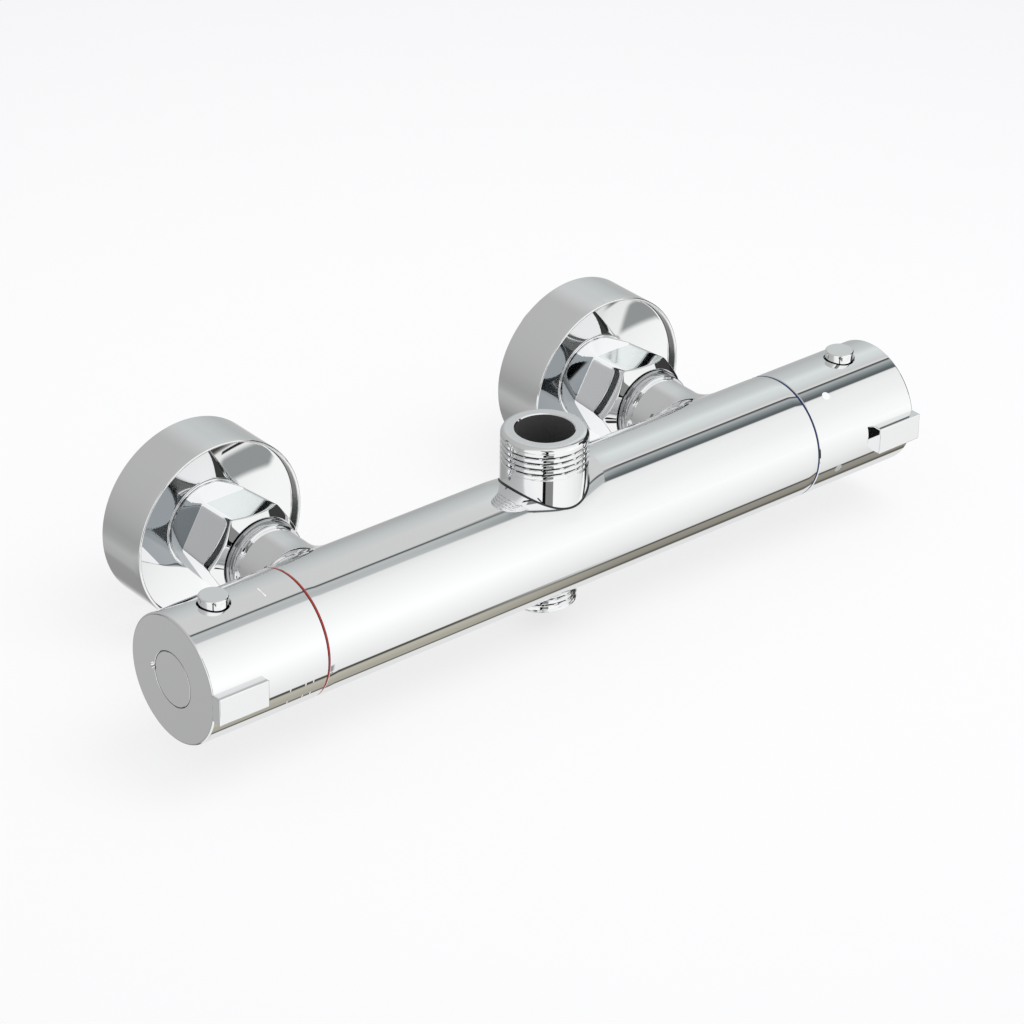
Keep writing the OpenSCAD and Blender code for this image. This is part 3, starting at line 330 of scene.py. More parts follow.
def carve(piece, cutter):
    """Cuts a cutter's shape out of a piece and removes the cutter."""
    modifier = piece.modifiers.new("cut", "BOOLEAN")
    modifier.operation, modifier.solver, modifier.object = "DIFFERENCE", "EXACT", cutter
    select_only(piece)
    bpy.ops.object.modifier_apply(modifier=modifier.name)
    bpy.data.objects.remove(cutter)


def from_points(name, points, faces, inside_out=False):
    mesh = bpy.data.meshes.new(name)
    mesh.from_pydata(points, [], faces)
    if inside_out:
        mesh.flip_normals()
    piece = bpy.data.objects.new(name, mesh)
    bpy.context.collection.objects.link(piece)
    return piece


def round_angles(count):
    return [2 * math.pi * i / count for i in range(count)]


def skin(rows, around, closed=False):
    """Faces between rows of points that each run once round; closed joins the last row to the first."""
    return [(j * around + i, j * around + (i + 1) % around, (j + 1) % rows * around + (i + 1) % around,
             (j + 1) % rows * around + i) for j in range(rows if closed else rows - 1) for i in range(around)]


def turned(name, outline, steps, closed=True):
    """A lathe-turned piece: an outline of (distance from axis, place along axis) spun round the Z axis."""
    edges = [(i, i + 1) for i in range(len(outline) - 1)]
    if closed:
        edges.append((len(outline) - 1, 0))
    mesh = bpy.data.meshes.new(name)
    mesh.from_pydata([(r, 0, z) for r, z in outline], edges, [])
    piece = bpy.data.objects.new(name, mesh)
    bpy.context.collection.objects.link(piece)
    select_only(piece)
    bpy.ops.object.mode_set(mode="EDIT")
    bpy.ops.mesh.select_all(action="SELECT")
    bpy.ops.mesh.spin(steps=steps, angle=2 * math.pi, center=(0, 0, 0), axis=(0, 0, 1))
    bpy.ops.mesh.select_all(action="SELECT")
    bpy.ops.mesh.remove_doubles(threshold=0.000001)
    bpy.ops.mesh.select_all(action="SELECT")
    bpy.ops.mesh.normals_make_consistent(inside=False)
    bpy.ops.object.mode_set(mode="OBJECT")
    return piece


def lay(piece, matrix):
    """Puts a piece in its place in the part and keeps that place in its mesh."""
    piece.data.transform(matrix)
    if matrix.determinant() < 0:
        piece.data.flip_normals()
    piece.data.update()
    return piece


def upright(x=0):
    """From a piece's own axis to an upright axis through the bar's axis at x."""
    return Matrix.Translation((x, AXIS_Y, AXIS_Z))


def mirrored(side, x=0):
    """As upright, and turned left for right where side is -1."""
    return upright(x) @ Matrix.Scale(side, 4, (1, 0, 0))


def along_bar(side=1):
    """From a turned piece's own axis to the bar's axis, towards the right end (1) or the left end (-1)."""
    return mirrored(side) @ Matrix(((0, 0, 1, 0), (0, 1, 0, 0), (-1, 0, 0, 0), (0, 0, 0, 1)))


def along_arm(side):
    """From a turned piece's own axis to the axis of one inlet, towards the wall."""
    return upright(side * INLET_X) @ Matrix(((1, 0, 0, 0), (0, 0, 1, 0), (0, -1, 0, 0), (0, 0, 0, 1)))


def arm_blend_point(angle, t):
    """A point of the blend: t runs from the arm's wall, 0, to the bar's skin, 1."""
    c, s = math.cos(angle), math.sin(angle)
    spread = BLEND_IN - (BLEND_IN - BLEND_OUT) * (1 + c) / 2
    land = Vector(((ARM_R + spread) * c, 0, (ARM_R + BLEND_Z) * s))
    land.y = math.sqrt(BAR_R ** 2 - land.z ** 2)
    knee = Vector((ARM_R * c, (BAR_R ** 2 - land.z * ARM_R * s) / land.y, ARM_R * s))
    start = Vector((ARM_R * c, knee.y + (land - knee).length, ARM_R * s))
    return start * (1 - t) ** 2 + knee * 2 * t * (1 - t) + land * t * t


def arm(side):
    """An arm from its rounded end to the bar's skin, with a narrow skirt that tucks in just under the skin."""
    around, down, skirt_wide, skirt_sink = 320, 48, 0.0004, 0.00001
    angles = round_angles(around)
    end = ((ARM_BORE, ARM_END - 0.0005), (ARM_BORE, ARM_END), (ARM_R - ARM_BREAK, ARM_END),
           (ARM_R - 0.0001, ARM_END - ARM_BREAK * 0.6), (ARM_R, ARM_END - ARM_BREAK))
    rows = [[Vector((r * math.cos(a), q, r * math.sin(a))) for a in angles] for r, q in end]
    rows += [[arm_blend_point(a, j / down) for a in angles] for j in range(down + 1)]
    landing = rows[-1]
    for k in (1, 2):
        rows.append([])
        for p, a in zip(landing, angles):
            z = p.z + skirt_wide * k * math.sin(a)
            y = math.sqrt(BAR_R ** 2 - z * z) - skirt_sink * k
            rows[-1].append(Vector((p.x + skirt_wide * k * math.cos(a), y, z)))
    points = [p for row in rows for p in row]
    piece = from_points("arm", points, skin(len(rows), around), inside_out=True)
    return lay(piece, mirrored(side, side * INLET_X))


def outlet_dip():
    """What polishing took off round the upper outlet's hole: the skin rolls over a little towards the pipe."""
    around, out, clear, wall_high, lid = 256, 24, 0.00002, 0.012, 0.034
    points = []
    for j in range(out + 2):
        t = min(j, out) / out
        r = BAR_R + clear - DIP_DEEP * (1 - t) ** DIP_CURVE + (wall_high if j > out else 0)
        for a in round_angles(around):
            lean = math.asin(DIP_R * math.sin(a) / BAR_R) + DIP_WIDE * t * math.sin(a) / BAR_R
            points.append(((DIP_R + DIP_WIDE * t) * math.cos(a), r * math.sin(lean), r * math.cos(lean)))
    floor_middle, lid_middle, rim = len(points), len(points) + 1, (out + 1) * around
    points += [(0, 0, BAR_R - DIP_DEEP), (0, 0, lid)]
    faces = skin(out + 2, around)
    for i in range(around):
        faces.append((floor_middle, (i + 1) % around, i))
        faces.append((lid_middle, rim + i, rim + (i + 1) % around))
    return lay(from_points("outlet_dip", points, faces), upright())


def shade_inside_bore(piece, bore):
    """Paints an upright bore dark grey: painted shade inside the bore."""
    coat(piece, dark_bore_finish, lambda middle, normal: math.hypot(middle.x, middle.y) < bore + BORE_CLEAR
         and abs(normal.z) < 0.5)


def bar_section():
    """Half of the bar cut lengthwise: both bores, broken edges, and the skin's slight roll-off at the ends."""
    skin_end = BAR_HALF - EDGE / 2
    roll = [(BAR_R - ROLL_DEEP * (1 - k / ROLL_ROWS) ** 2, -skin_end + ROLL_LONG * k / ROLL_ROWS)
            for k in range(ROLL_ROWS + 1)]
    straight = skin_end - ROLL_LONG
    left_end = [(CARTRIDGE_R, CARTRIDGE_LEFT), (CARTRIDGE_R, -BAR_HALF + EDGE), (CARTRIDGE_R + EDGE, -BAR_HALF),
                (BAR_R - EDGE, -BAR_HALF)]
    right_end = [(BAR_R - EDGE, BAR_HALF), (CARTRIDGE_R + EDGE, BAR_HALF), (CARTRIDGE_R, BAR_HALF - EDGE),
                 (CARTRIDGE_R, CARTRIDGE_RIGHT), (WATERWAY_R, CARTRIDGE_RIGHT), (WATERWAY_R, CARTRIDGE_LEFT)]
    return (left_end + roll + [(BAR_R, -straight + 2 * straight * i / BAR_ROWS) for i in range(1, BAR_ROWS)]
            + [(r, -z) for r, z in reversed(roll)] + right_end)


# painted shade: a dark grey for the inside of the bores, where shade falls
dark_bore_finish = moulded("bore_painted_shade", (0.085, 0.083, 0.085), 0.55, 0.00003, 0.15)
upper_well = [(0, WELL_START), (UPPER_BORE, WELL_START), (UPPER_BORE, WELL_END), (0, WELL_END)]
lower_well = [(0, -WELL_START), (LOWER_BORE, -WELL_START), (LOWER_BORE, -SPOT_FACE), (SPOT_FACE_R, -SPOT_FACE),
              (SPOT_FACE_R, -WELL_END), (0, -WELL_END)]
bar = lay(turned("bar", bar_section(), steps=256), along_bar())
for well in (upper_well, lower_well):
    carve(bar, lay(turned("well", well, steps=96, closed=False), upright()))
carve(bar, outlet_dip())
bar = join("bar_casting", [bar, arm(-1), arm(1)])
finish_piece(bar, "fixed", ["bar_body"], chrome, smooth=24)
shade_inside_bore(bar, UPPER_BORE)


# Outlets. Turned brass nipples let into the bar, each with a thin black bead round its joint with the bar. The
# upper takes a riser's three-quarter-inch nut, the lower a hose's half-inch nut. Both have cut threads with
# rounded crests, their roots painted dark as painted shade, and the upper has a rounded rim with a ground face
# for a flat washer.
PITCH, THREAD_ROOT, THREAD_FLANK, THREAD_STEP = 0.001814, 0.06, 0.44, 0.00012
TOP_R, TOP_DEEP, TOP_START, TOP_NECK = 0.01305, 0.001, 0.0136, 0.0236
TOP_THREAD, TOP_RIM, RIM_HIGH, RIM_WIDE, RIM_CLEAR, RIM_ROWS = 0.0238, 0.0328, 0.0016, 0.0018, 0.0001, 12
HALF_INCH_R, HALF_INCH_DEEP = 0.0104, 0.0009
BOTTOM_END, BOTTOM_CHAMFER, BOTTOM_CLEAR = -0.0225, 0.0006, 0.0007
# painted shade in the roots: from this radius, to so far under the crests
ROOTS_FROM_R, TOP_ROOTS_UNDER, BOTTOM_ROOTS_UNDER = 0.009, 0.0006, 0.00055
# the bead's section: how far it stands off the pipe, and how high over the bar's skin
BEAD_SECTION = ((-0.0002, 0.0001), (0.00018, 0.00009), (0.00036, 0.00003), (0.0004, -0.0003), (-0.0002, -0.0005))
BEAD_DROP = 0.0003

# painted shade: a dark, duller chrome for the thread roots, where shade falls in the grooves
root_shade_finish = polished("root_shade_finish", (0.2, 0.205, 0.215, 1), 0.25, 0.2, 0.000006, 300)
washer_face = polished("ground_washer_face", (0.9, 0.91, 0.92, 1), 0.2, 0.35, 0.000004, 500)
# a black finish for the beads that darken the outlets' joints with the bar
black_bead = moulded("black_joint_bead", (0.012, 0.013, 0.015), 0.4, 0.00001, 0.2)


def thread_depth(depth, z, angle):
    """How far a thread's surface lies under its crests: rounded crests between V grooves."""
    phase = (z / PITCH - angle / (2 * math.pi)) % 1
    rise = min(1, max(0, (abs(phase - 0.5) * 2 - THREAD_ROOT) / THREAD_FLANK))
    return depth * (1 - rise * rise * (3 - 2 * rise))


def thread_rows(radius, depth, low, high, step=THREAD_STEP):
    """Rows through a stretch of thread that fades in and out at its ends."""
    rows = []
    count = int((high - low) / step)
    for j in range(count + 1):
        z = low + (high - low) * j / count
        fade = max(0, min(1, (z - low) / (PITCH * 0.5), (high - z) / (PITCH * 0.3)))
        rows.append((z, lambda a, z=z, fade=fade: radius - thread_depth(depth, z, a) * fade))
    return rows


def plain_row(z, radius):
    return z, lambda a: radius


def threaded(name, rows, bore, around=224):
    """A tube whose outside follows rows of (place, radius by angle), with a broken edge at its bore's mouth."""
    foot, mouth = rows[0][0], rows[-1][0]
    rows = rows + [plain_row(mouth, bore + EDGE), plain_row(mouth - EDGE, bore), plain_row(foot, bore)]
    points = []
    for z, radius in rows:
        for a in round_angles(around):
            r = radius(a)
            points.append((r * math.cos(a), r * math.sin(a), z))
    return from_points(name, points, skin(len(rows), around, closed=True))


def shade_thread_roots(piece, radius, low, high):
    """Paints the roots of a thread dark: painted shade in its grooves."""
    coat(piece, root_shade_finish, lambda middle, normal: ROOTS_FROM_R < math.hypot(middle.x, middle.y) < radius
         and low < middle.z < high)


def joint_bead(radius, side, drop=0):
    """A thin black bead that darkens the joint where an outlet enters the bar."""
    around, points = 192, []
    for off, lift in BEAD_SECTION:
        for a in round_angles(around):
            y = (radius + off) * math.sin(a)
            skin_z = math.sqrt((BAR_R - drop) ** 2 - y * y)
            points.append(((radius + off) * math.cos(a), y, side * (skin_z + lift)))
    faces = skin(len(BEAD_SECTION), around, closed=True)
    return lay(from_points("joint_bead", points, faces, inside_out=side > 0), upright())


rows = [plain_row(z, TOP_R) for z in (TOP_START, TOP_NECK - 0.0011, TOP_NECK)]
rows += thread_rows(TOP_R, TOP_DEEP, TOP_THREAD, TOP_RIM)
for k in range(1, RIM_ROWS + 1):
    a = math.pi / 2 * k / RIM_ROWS
    rows.append(plain_row(TOP_RIM + RIM_HIGH * math.sin(a), TOP_R - RIM_WIDE * (1 - math.cos(a))))
top = lay(threaded("riser_outlet", rows, UPPER_BORE), upright())
finish_piece(top, "fixed", ["top_outlet"], chrome, smooth=40)
shade_inside_bore(top, UPPER_BORE)
shade_thread_roots(top, TOP_R - TOP_ROOTS_UNDER, TOP_NECK, TOP_RIM + RIM_CLEAR)
coat(top, washer_face,
     lambda middle, normal: normal.z > 0.999 and middle.z > TOP_RIM + RIM_HIGH - RIM_CLEAR)

rows = [plain_row(BOTTOM_END + BOTTOM_CHAMFER * k / 2, HALF_INCH_R - BOTTOM_CHAMFER * (1 - k / 2))
        for k in (0, 1, 2)]
rows += thread_rows(HALF_INCH_R, HALF_INCH_DEEP, BOTTOM_END + BOTTOM_CLEAR, -SPOT_FACE - 0.0005)
rows.append(plain_row(-SPOT_FACE, HALF_INCH_R))
bottom = lay(threaded("hose_outlet", rows, LOWER_BORE), upright())
finish_piece(bottom, "fixed", ["bottom_outlet"], chrome, smooth=40)
shade_inside_bore(bottom, LOWER_BORE)
shade_thread_roots(bottom, HALF_INCH_R - BOTTOM_ROOTS_UNDER, BOTTOM_END + BOTTOM_CLEAR, -SPOT_FACE - 0.0003)

beads = [joint_bead(TOP_R, 1, BEAD_DROP), joint_bead(HALF_INCH_R, -1)]
finish_piece(join("outlet_joint_beads", beads), "fixed", [], black_bead, smooth=60)


# End rings. Thin coloured plastic rings clipped between the bar and its handles: red for the hot side, blue for
# the cold. They are the CAD nodes themselves.
def refinish(node_name, material):
    """Gives its finish to a CAD node that keeps its own shape."""
    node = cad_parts[node_name]
    node.data.materials.clear()
    node.data.materials.append(material)


refinish("temperature_ring", moulded("red_ring_plastic", (0.34, 0.022, 0.014), 0.35))
refinish("flow_ring", moulded("blue_ring_plastic", (0.003, 0.02, 0.1), 0.3))


# Wall flanges. Drawn brass cups that hide the wall elbows: a deep round wall, a thin rolled rim, and a shallow
# polished dish for a floor. A short hub screws on to the union's thread.
INLETS = ((-1, "hot"), (1, "cold"))
FLANGE_R, SHEET_T, RIM_Q, WALL_Q = 0.0293, 0.0009, 0.0576, 0.0763
DISH_MIDDLE, DISH_BALL_R, DISH_GAP, DISH_WALL_END = 0.0653, 0.09187, 0.0005, 0.0603
HUB_R, HUB_BORE, HUB_FRONT, HUB_MOUTH_EDGE = 0.0145, 0.0130, 0.0638, 0.0001
# the hub's foot and its broken front edge: how far outwards, and how far behind the foot or the front
HUB_FOOT = ((0.0001, 0), (0.00002, -0.00008))
HUB_EDGE = ((0, 0.0002), (-0.0001, 0.00006), (-0.00025, 0))
# the ring of painted shade inside the rim: its depths and its radii
SHADE_FROM_Q, SHADE_TO_Q = RIM_Q + 0.0004, DISH_WALL_END + 0.0003
SHADE_FROM_R, SHADE_TO_R = FLANGE_R - 0.00105, FLANGE_R - 0.0007


def dish_q(r):
    """How deep the shallow dish lies at a distance from its axis: part of a large ball."""
    return DISH_MIDDLE - DISH_BALL_R + math.sqrt(DISH_BALL_R ** 2 - r * r)


def flange_section():
    """Half of a flange cut through: rim, the round corner inside the wall, dish, hub, the dish's back, wall."""
    inner, half_t, rim_rows, corner_rows, dish_rows, wall_rows = FLANGE_R - SHEET_T, SHEET_T / 2, 10, 8, 32, 6
    out = [(inner + half_t + half_t * math.cos(a), RIM_Q + half_t - half_t * math.sin(a))
           for a in [math.pi * k / rim_rows for k in range(rim_rows + 1)]]
    dish_r = inner - DISH_GAP
    for u in [k / corner_rows for k in range(corner_rows + 1)]:
        out.append((inner * (1 - u) ** 2 + inner * 2 * u * (1 - u) + dish_r * u * u,
                    DISH_WALL_END * (1 - u) ** 2 + dish_q(inner) * 2 * u * (1 - u) + dish_q(dish_r) * u * u))
    dish = [(r, dish_q(r)) for r in [dish_r + (HUB_R - dish_r) * k / dish_rows for k in range(1, dish_rows)]]
    foot, back_q = dish_q(HUB_R), dish_q(HUB_R) + SHEET_T
    out += dish
    out += [(HUB_R + wide, foot + deep) for wide, deep in HUB_FOOT]
    out += [(HUB_R + wide, HUB_FRONT + deep) for wide, deep in HUB_EDGE]
    out += [(HUB_BORE + HUB_MOUTH_EDGE, HUB_FRONT), (HUB_BORE, HUB_FRONT + HUB_MOUTH_EDGE), (HUB_BORE, back_q),
            (HUB_R, back_q)]
    out += [(r, q + SHEET_T) for r, q in reversed(dish)]
    out += [(inner, dish_q(inner) + SHEET_T), (inner, WALL_Q), (FLANGE_R, WALL_Q)]
    out += [(FLANGE_R, WALL_Q - (WALL_Q - RIM_Q - 0.0005) * k / wall_rows) for k in range(1, wall_rows)]
    return out


def in_rim_shade(middle, normal):
    return SHADE_FROM_Q < middle.y < SHADE_TO_Q and SHADE_FROM_R < math.hypot(middle.x, middle.z) < SHADE_TO_R


# painted shade: a dark chrome for the ring inside the rim, where shadow falls between the rim and the dish
rim_shade_chrome = polished("rim_shade_chrome", (0.2, 0.2, 0.195, 1), 0.12, 0.1)
for side, name in INLETS:
    flange = lay(turned("wall_flange_" + name, flange_section(), steps=256), along_arm(side))
    finish_piece(flange, "fixed", ["flange_" + name], chrome, smooth=40)
    coat(flange, rim_shade_chrome, in_rim_shade, side * INLET_X)


# Union nuts. Forged brass nuts, chromed: six flats that taper a little both ways from a crease, corners rounded
# by the polishing wheel, and a domed front face round the tailpiece. The flats behind the crease are painted
# darker, painted shade, and the top flat in front of it is painted a little darker and greener, a painted tone
# from how the light falls on it.
NUT_FRONT, NUT_CREASE, NUT_BACK, NUT_BORE = 0.0382, 0.0555, 0.0636, 0.01125
CORNER_FRONT, CORNER_CREASE, CORNER_BACK, CONE_BACK = 0.0166, 0.0153, 0.01588, 0.0140
FACE_R, FACE_SLOPE, CORNER_SOFT, EDGE_SOFT, FLAT_LIFT, NUT_EDGE = 0.0132, 1.1, 0.0004, 0.0001, 0.0001, 0.0001
FLATS_START, FLATS_FROM_R, CREASE_CLEAR = 0.0405, 0.0125, 0.0003
FLAT_DEGREES = (0, 0.5, 1, 1.5, 2, 2.6, 3.4, 4.5, 6, 8, 10.5, 13.5, 17, 21, 25.5, 30, 34.5, 39, 43, 46.5, 49.5,
                52, 54, 55.5, 56.6, 57.4, 58, 58.5, 59, 59.5)
NUT_STATIONS = ((NUT_FRONT, 28), (0.0416, 56), (0.0548, 8), (0.0562, 30), (NUT_BACK, 0))


def soft_min(values, k):
    low = min(values)
    return low - k * math.log(sum(math.exp((low - v) / k) for v in values))


def nut_radius(angle, q):
    """Radius of the nut's skin: the nearest of its flats, its domed front and its cone-turned back."""
    if q < NUT_CREASE:
        corner = CORNER_FRONT + (CORNER_CREASE - CORNER_FRONT) * (q - NUT_FRONT) / (NUT_CREASE - NUT_FRONT)
        cone = 1
    else:
        share = (q - NUT_CREASE) / (NUT_BACK - NUT_CREASE)
        corner = CORNER_CREASE + (CORNER_BACK - CORNER_CREASE) * share
        cone = CORNER_CREASE + (CONE_BACK - CORNER_CREASE) * share
    apothem = corner * math.cos(math.pi / 6)
    turns_off = [math.cos(angle - (math.pi / 6 + k * math.pi / 3)) for k in range(6)]
    flats = [apothem / c for c in turns_off if c > 0.3]
    front = FACE_R + (q - NUT_FRONT) * FACE_SLOPE
    return soft_min([soft_min(flats, CORNER_SOFT) + FLAT_LIFT, front, cone], EDGE_SOFT)


def union_nut(side, name):
    angles = [math.radians(k * 60 + f) for k in range(6) for f in FLAT_DEGREES]
    qs = []
    for (low, count), (high, _) in zip(NUT_STATIONS, NUT_STATIONS[1:]):
        qs += [low + (high - low) * j / count for j in range(count)]
    front = [(NUT_BORE, NUT_FRONT + 0.004), (NUT_BORE, NUT_FRONT + NUT_EDGE), (NUT_BORE + NUT_EDGE, NUT_FRONT),
             (FACE_R - 2 * NUT_EDGE, NUT_FRONT)]
    rear = [(CONE_BACK - NUT_EDGE, NUT_BACK + NUT_EDGE), (CONE_BACK - 0.001, NUT_BACK + NUT_EDGE)]
    rows = [[p] * len(angles) for p in front]
    rows += [[(nut_radius(a, q), q) for a in angles] for q in qs + [NUT_BACK]]
    rows += [[p] * len(angles) for p in rear]
    points = [(r * math.cos(a), r * math.sin(a), q) for row in rows for (r, q), a in zip(row, angles)]
    return lay(from_points(name, points, skin(len(rows), len(angles), closed=True)), along_arm(side))


def rear_flats(middle, normal):
    return (middle.y > NUT_CREASE + CREASE_CLEAR and normal.z < 0.8
            and math.hypot(middle.x, middle.z) > FLATS_FROM_R)


def top_flat(middle, normal):
    return FLATS_START < middle.y < NUT_CREASE - CREASE_CLEAR and normal.z > 0.99


# painted shade: a dark copy of the chrome for the flats behind the crease
nut_shade_chrome = polished("nut_shade_chrome", (0.33, 0.36, 0.38, 1), 0.03, 0.04)
# a painted tone: a slightly darker, greener copy of the chrome for the top flat, from how the light falls on it
nut_top_tone_chrome = polished("nut_top_tone_chrome", (0.79, 0.83, 0.825, 1), 0.03, 0.04)
for side, name in INLETS:
    nut = union_nut(side, "union_nut_" + name + "_forged")
    finish_piece(nut, "fixed", ["union_nut_" + name], chrome, smooth=35)
    coat(nut, nut_shade_chrome, rear_flats, side * INLET_X)
    coat(nut, nut_top_tone_chrome, top_flat, side * INLET_X)


# Tailpieces and snap rings. Short brass tubes pressed into the arms. The nut hangs on each tube's collar and is
# kept from sliding forward by a split ring of spring steel.
TAIL_START, TAIL_END, STUB_R, FLARE_R = 0.0280, 0.0456, 0.0095, 0.0123
STEP_R, STEP_END, NECK_R, COLLAR_R, COLLAR_START = 0.0119, 0.0380, 0.0112, 0.01265, 0.0426
SNAP_R, SNAP_FRONT, SNAP_BACK, FLARE_END, FINE_EDGE = 0.0129, 0.0368, 0.0378, 0.0366, 0.0002

tail_outline = [
    (ARM_BORE, TAIL_START), (STUB_R, TAIL_START), (STUB_R, ARM_END), (FLARE_R - FINE_EDGE, ARM_END),
    (FLARE_R, ARM_END + FINE_EDGE), (FLARE_R, FLARE_END - 2 * FINE_EDGE),
    (FLARE_R - FINE_EDGE, FLARE_END - FINE_EDGE / 2), (STEP_R, FLARE_END),
    (STEP_R, STEP_END), (NECK_R, STEP_END), (NECK_R, COLLAR_START), (COLLAR_R, COLLAR_START),
    (COLLAR_R, TAIL_END), (ARM_BORE, TAIL_END)]
snap_outline = [
    (NUT_BORE, SNAP_FRONT), (SNAP_R - FINE_EDGE, SNAP_FRONT), (SNAP_R, SNAP_FRONT + FINE_EDGE),
    (SNAP_R, SNAP_BACK - FINE_EDGE), (SNAP_R - FINE_EDGE, SNAP_BACK), (NUT_BORE, SNAP_BACK)]
for side, name in INLETS:
    tail = lay(turned("tailpiece_" + name + "_turned", tail_outline, steps=160), along_arm(side))
    finish_piece(tail, "fixed", ["tailpiece_" + name], chrome, smooth=40)
snap_steel = polished("snap_ring_steel", (0.5, 0.51, 0.52, 1), 0.05, 0.04)
rings = [lay(turned("snap_ring", snap_outline, steps=160), along_arm(side)) for side, name in INLETS]
finish_piece(join("snap_rings_split", rings), "fixed", ["snap_rings"], snap_steel, smooth=40)


# Eccentric unions. Cast brass unions, chromed, with a large thread for the nut and, set off by 5 mm, a
# half-inch thread that screws into the wall elbow. A web between the two is gripped by a spanner.
UNION_BORE, UNION_R, UNION_START, UNION_WEB = 0.0078, 0.0127, 0.0480, 0.069
WEB_BORE, WEB_R, WEB_END, WEB_OFF, TAIL_OFF = 0.0068, 0.0144, 0.0724, 0.0015, 0.005
UNION_EDGE, WEB_EDGE, WALL_THREAD_END, WALL_CHAMFER, WALL_END = 0.0006, 0.0004, 0.0905, 0.0908, 0.0913

front_outline = [(UNION_BORE, UNION_START), (UNION_R - UNION_EDGE, UNION_START),
                 (UNION_R, UNION_START + UNION_EDGE), (UNION_R, UNION_WEB), (UNION_BORE, UNION_WEB)]
web_outline = [(WEB_BORE, UNION_WEB), (WEB_R - WEB_EDGE, UNION_WEB), (WEB_R, UNION_WEB + WEB_EDGE),
               (WEB_R, WEB_END - WEB_EDGE), (WEB_R - WEB_EDGE, WEB_END), (WEB_BORE, WEB_END)]
rows = [plain_row(WEB_END - FINE_EDGE, HALF_INCH_R - WEB_EDGE)]
rows += thread_rows(HALF_INCH_R, HALF_INCH_DEEP, WEB_END + FINE_EDGE, WALL_THREAD_END, step=0.0002)
rows += [plain_row(WALL_CHAMFER, HALF_INCH_R - FINE_EDGE), plain_row(WALL_END, HALF_INCH_R - UNION_EDGE)]
for side, name in INLETS:
    front_end = lay(turned("union_front", front_outline, steps=128), along_arm(side))
    web = lay(turned("union_web", web_outline, steps=128), Matrix.Translation((0, 0, WEB_OFF)) @ along_arm(side))
    thread = lay(threaded("union_tail", rows, WEB_BORE, around=128),
                 Matrix.Translation((0, 0, TAIL_OFF)) @ along_arm(side))
    union = join("eccentric_union_" + name + "_cast", [front_end, web, thread])
    finish_piece(union, "fixed", ["eccentric_union_" + name], chrome, smooth=40)


# Handles. Two alike shells of chromed brass, each screwed on to its spindle: a round wall, a flat end with a
# broken edge, a thumb tab at the front, a well for the release button on top and a splined hub inside.
HANDLE_START, HANDLE_END, HANDLE_ROUND, HANDLE_ROWS, ROUND_ROWS = 0.09405, 0.1335, 0.0006, 10, 7
HANDLE_EDGE, FACE_IN = 0.0002, 0.00065
SHELL_IN, END_IN, HANDLE_HUB_R, HANDLE_HUB_START = 0.0175, 0.1305, 0.0062, 0.110
PLUG_HOLE_R, PLUG_HOLE_DEEP, SPLINE_R, SPLINE_END = 0.00841, 0.0016, 0.00405, 0.120
SCREW_HEAD_R, SCREW_SEAT, SCREW_R = 0.0042, 0.124, 0.002
TAB_LOW, TAB_HIGH, TAB_ROUND = (0.1166, -0.0223, -0.0044), (HANDLE_END, -0.0185, 0.0042), 0.00035
TAB_FLAT_AREA = 0.000009
BUTTON_X, WELL_R, WELL_FLOOR, WELL_MOUTH_R, WELL_MOUTH = 0.119, 0.0049, 0.0130, 0.0053, 0.0205
WELL_FLARE_START, WELL_FLARE_END = 0.0194, 0.0199
TUBE_IN, TUBE_R, TUBE_LOW, TUBE_HIGH, TUBE_SLANT = 0.0057, 0.0069, 0.0098, 0.0178, 0.0015
NOTCH_R, NOTCH_OUT, NOTCH_FLOOR, NOTCH_CLEAR = 0.0013, 0.00916, 0.1329, 0.001
# the broken edge of the plug's hole: how far outwards, and how deep
MOUTH_EDGE = ((0.00027, 0), (0.00021, 0), (0.00012, 0.00005), (0.00006, 0.00014), (0, 0.0003))
KNOBS = ((-1, "temperature"), (1, "flow"))


def handle_section():
    """Half of a shell cut lengthwise, without its tab and well."""
    low, long = HANDLE_START + HANDLE_EDGE, HANDLE_END - HANDLE_START - HANDLE_EDGE - FACE_IN
    out = [(SHELL_IN, HANDLE_START), (BAR_R - HANDLE_EDGE, HANDLE_START), (BAR_R, low)]
    out += [(BAR_R, low + long * k / HANDLE_ROWS) for k in range(1, HANDLE_ROWS + 1)]
    for a in [math.pi / 2 * (1 - k / ROUND_ROWS) for k in range(ROUND_ROWS + 1)]:
        out.append((BAR_R - HANDLE_ROUND * (1 - math.sin(a)), HANDLE_END - HANDLE_ROUND * (1 - math.cos(a))))
    out.append((BAR_R - FACE_IN, HANDLE_END))
    out += [(PLUG_HOLE_R + wide, HANDLE_END - deep) for wide, deep in MOUTH_EDGE]
    out += [(PLUG_HOLE_R, HANDLE_END - PLUG_HOLE_DEEP), (SCREW_HEAD_R, HANDLE_END - PLUG_HOLE_DEEP),
            (SCREW_HEAD_R, SCREW_SEAT), (SCREW_R, SCREW_SEAT), (SCREW_R, SPLINE_END), (SPLINE_R, SPLINE_END),
            (SPLINE_R, HANDLE_HUB_START), (HANDLE_HUB_R, HANDLE_HUB_START), (HANDLE_HUB_R, END_IN),
            (SHELL_IN, END_IN)]
    return out


def stretched_cube(middle, size):
    """A cube at its size and place, with both in its mesh."""
    bpy.ops.mesh.primitive_cube_add(size=1)
    cube = bpy.context.object
    cube.data.transform(Matrix.Translation(middle) @ Matrix.Diagonal([*size, 1]))
    return cube


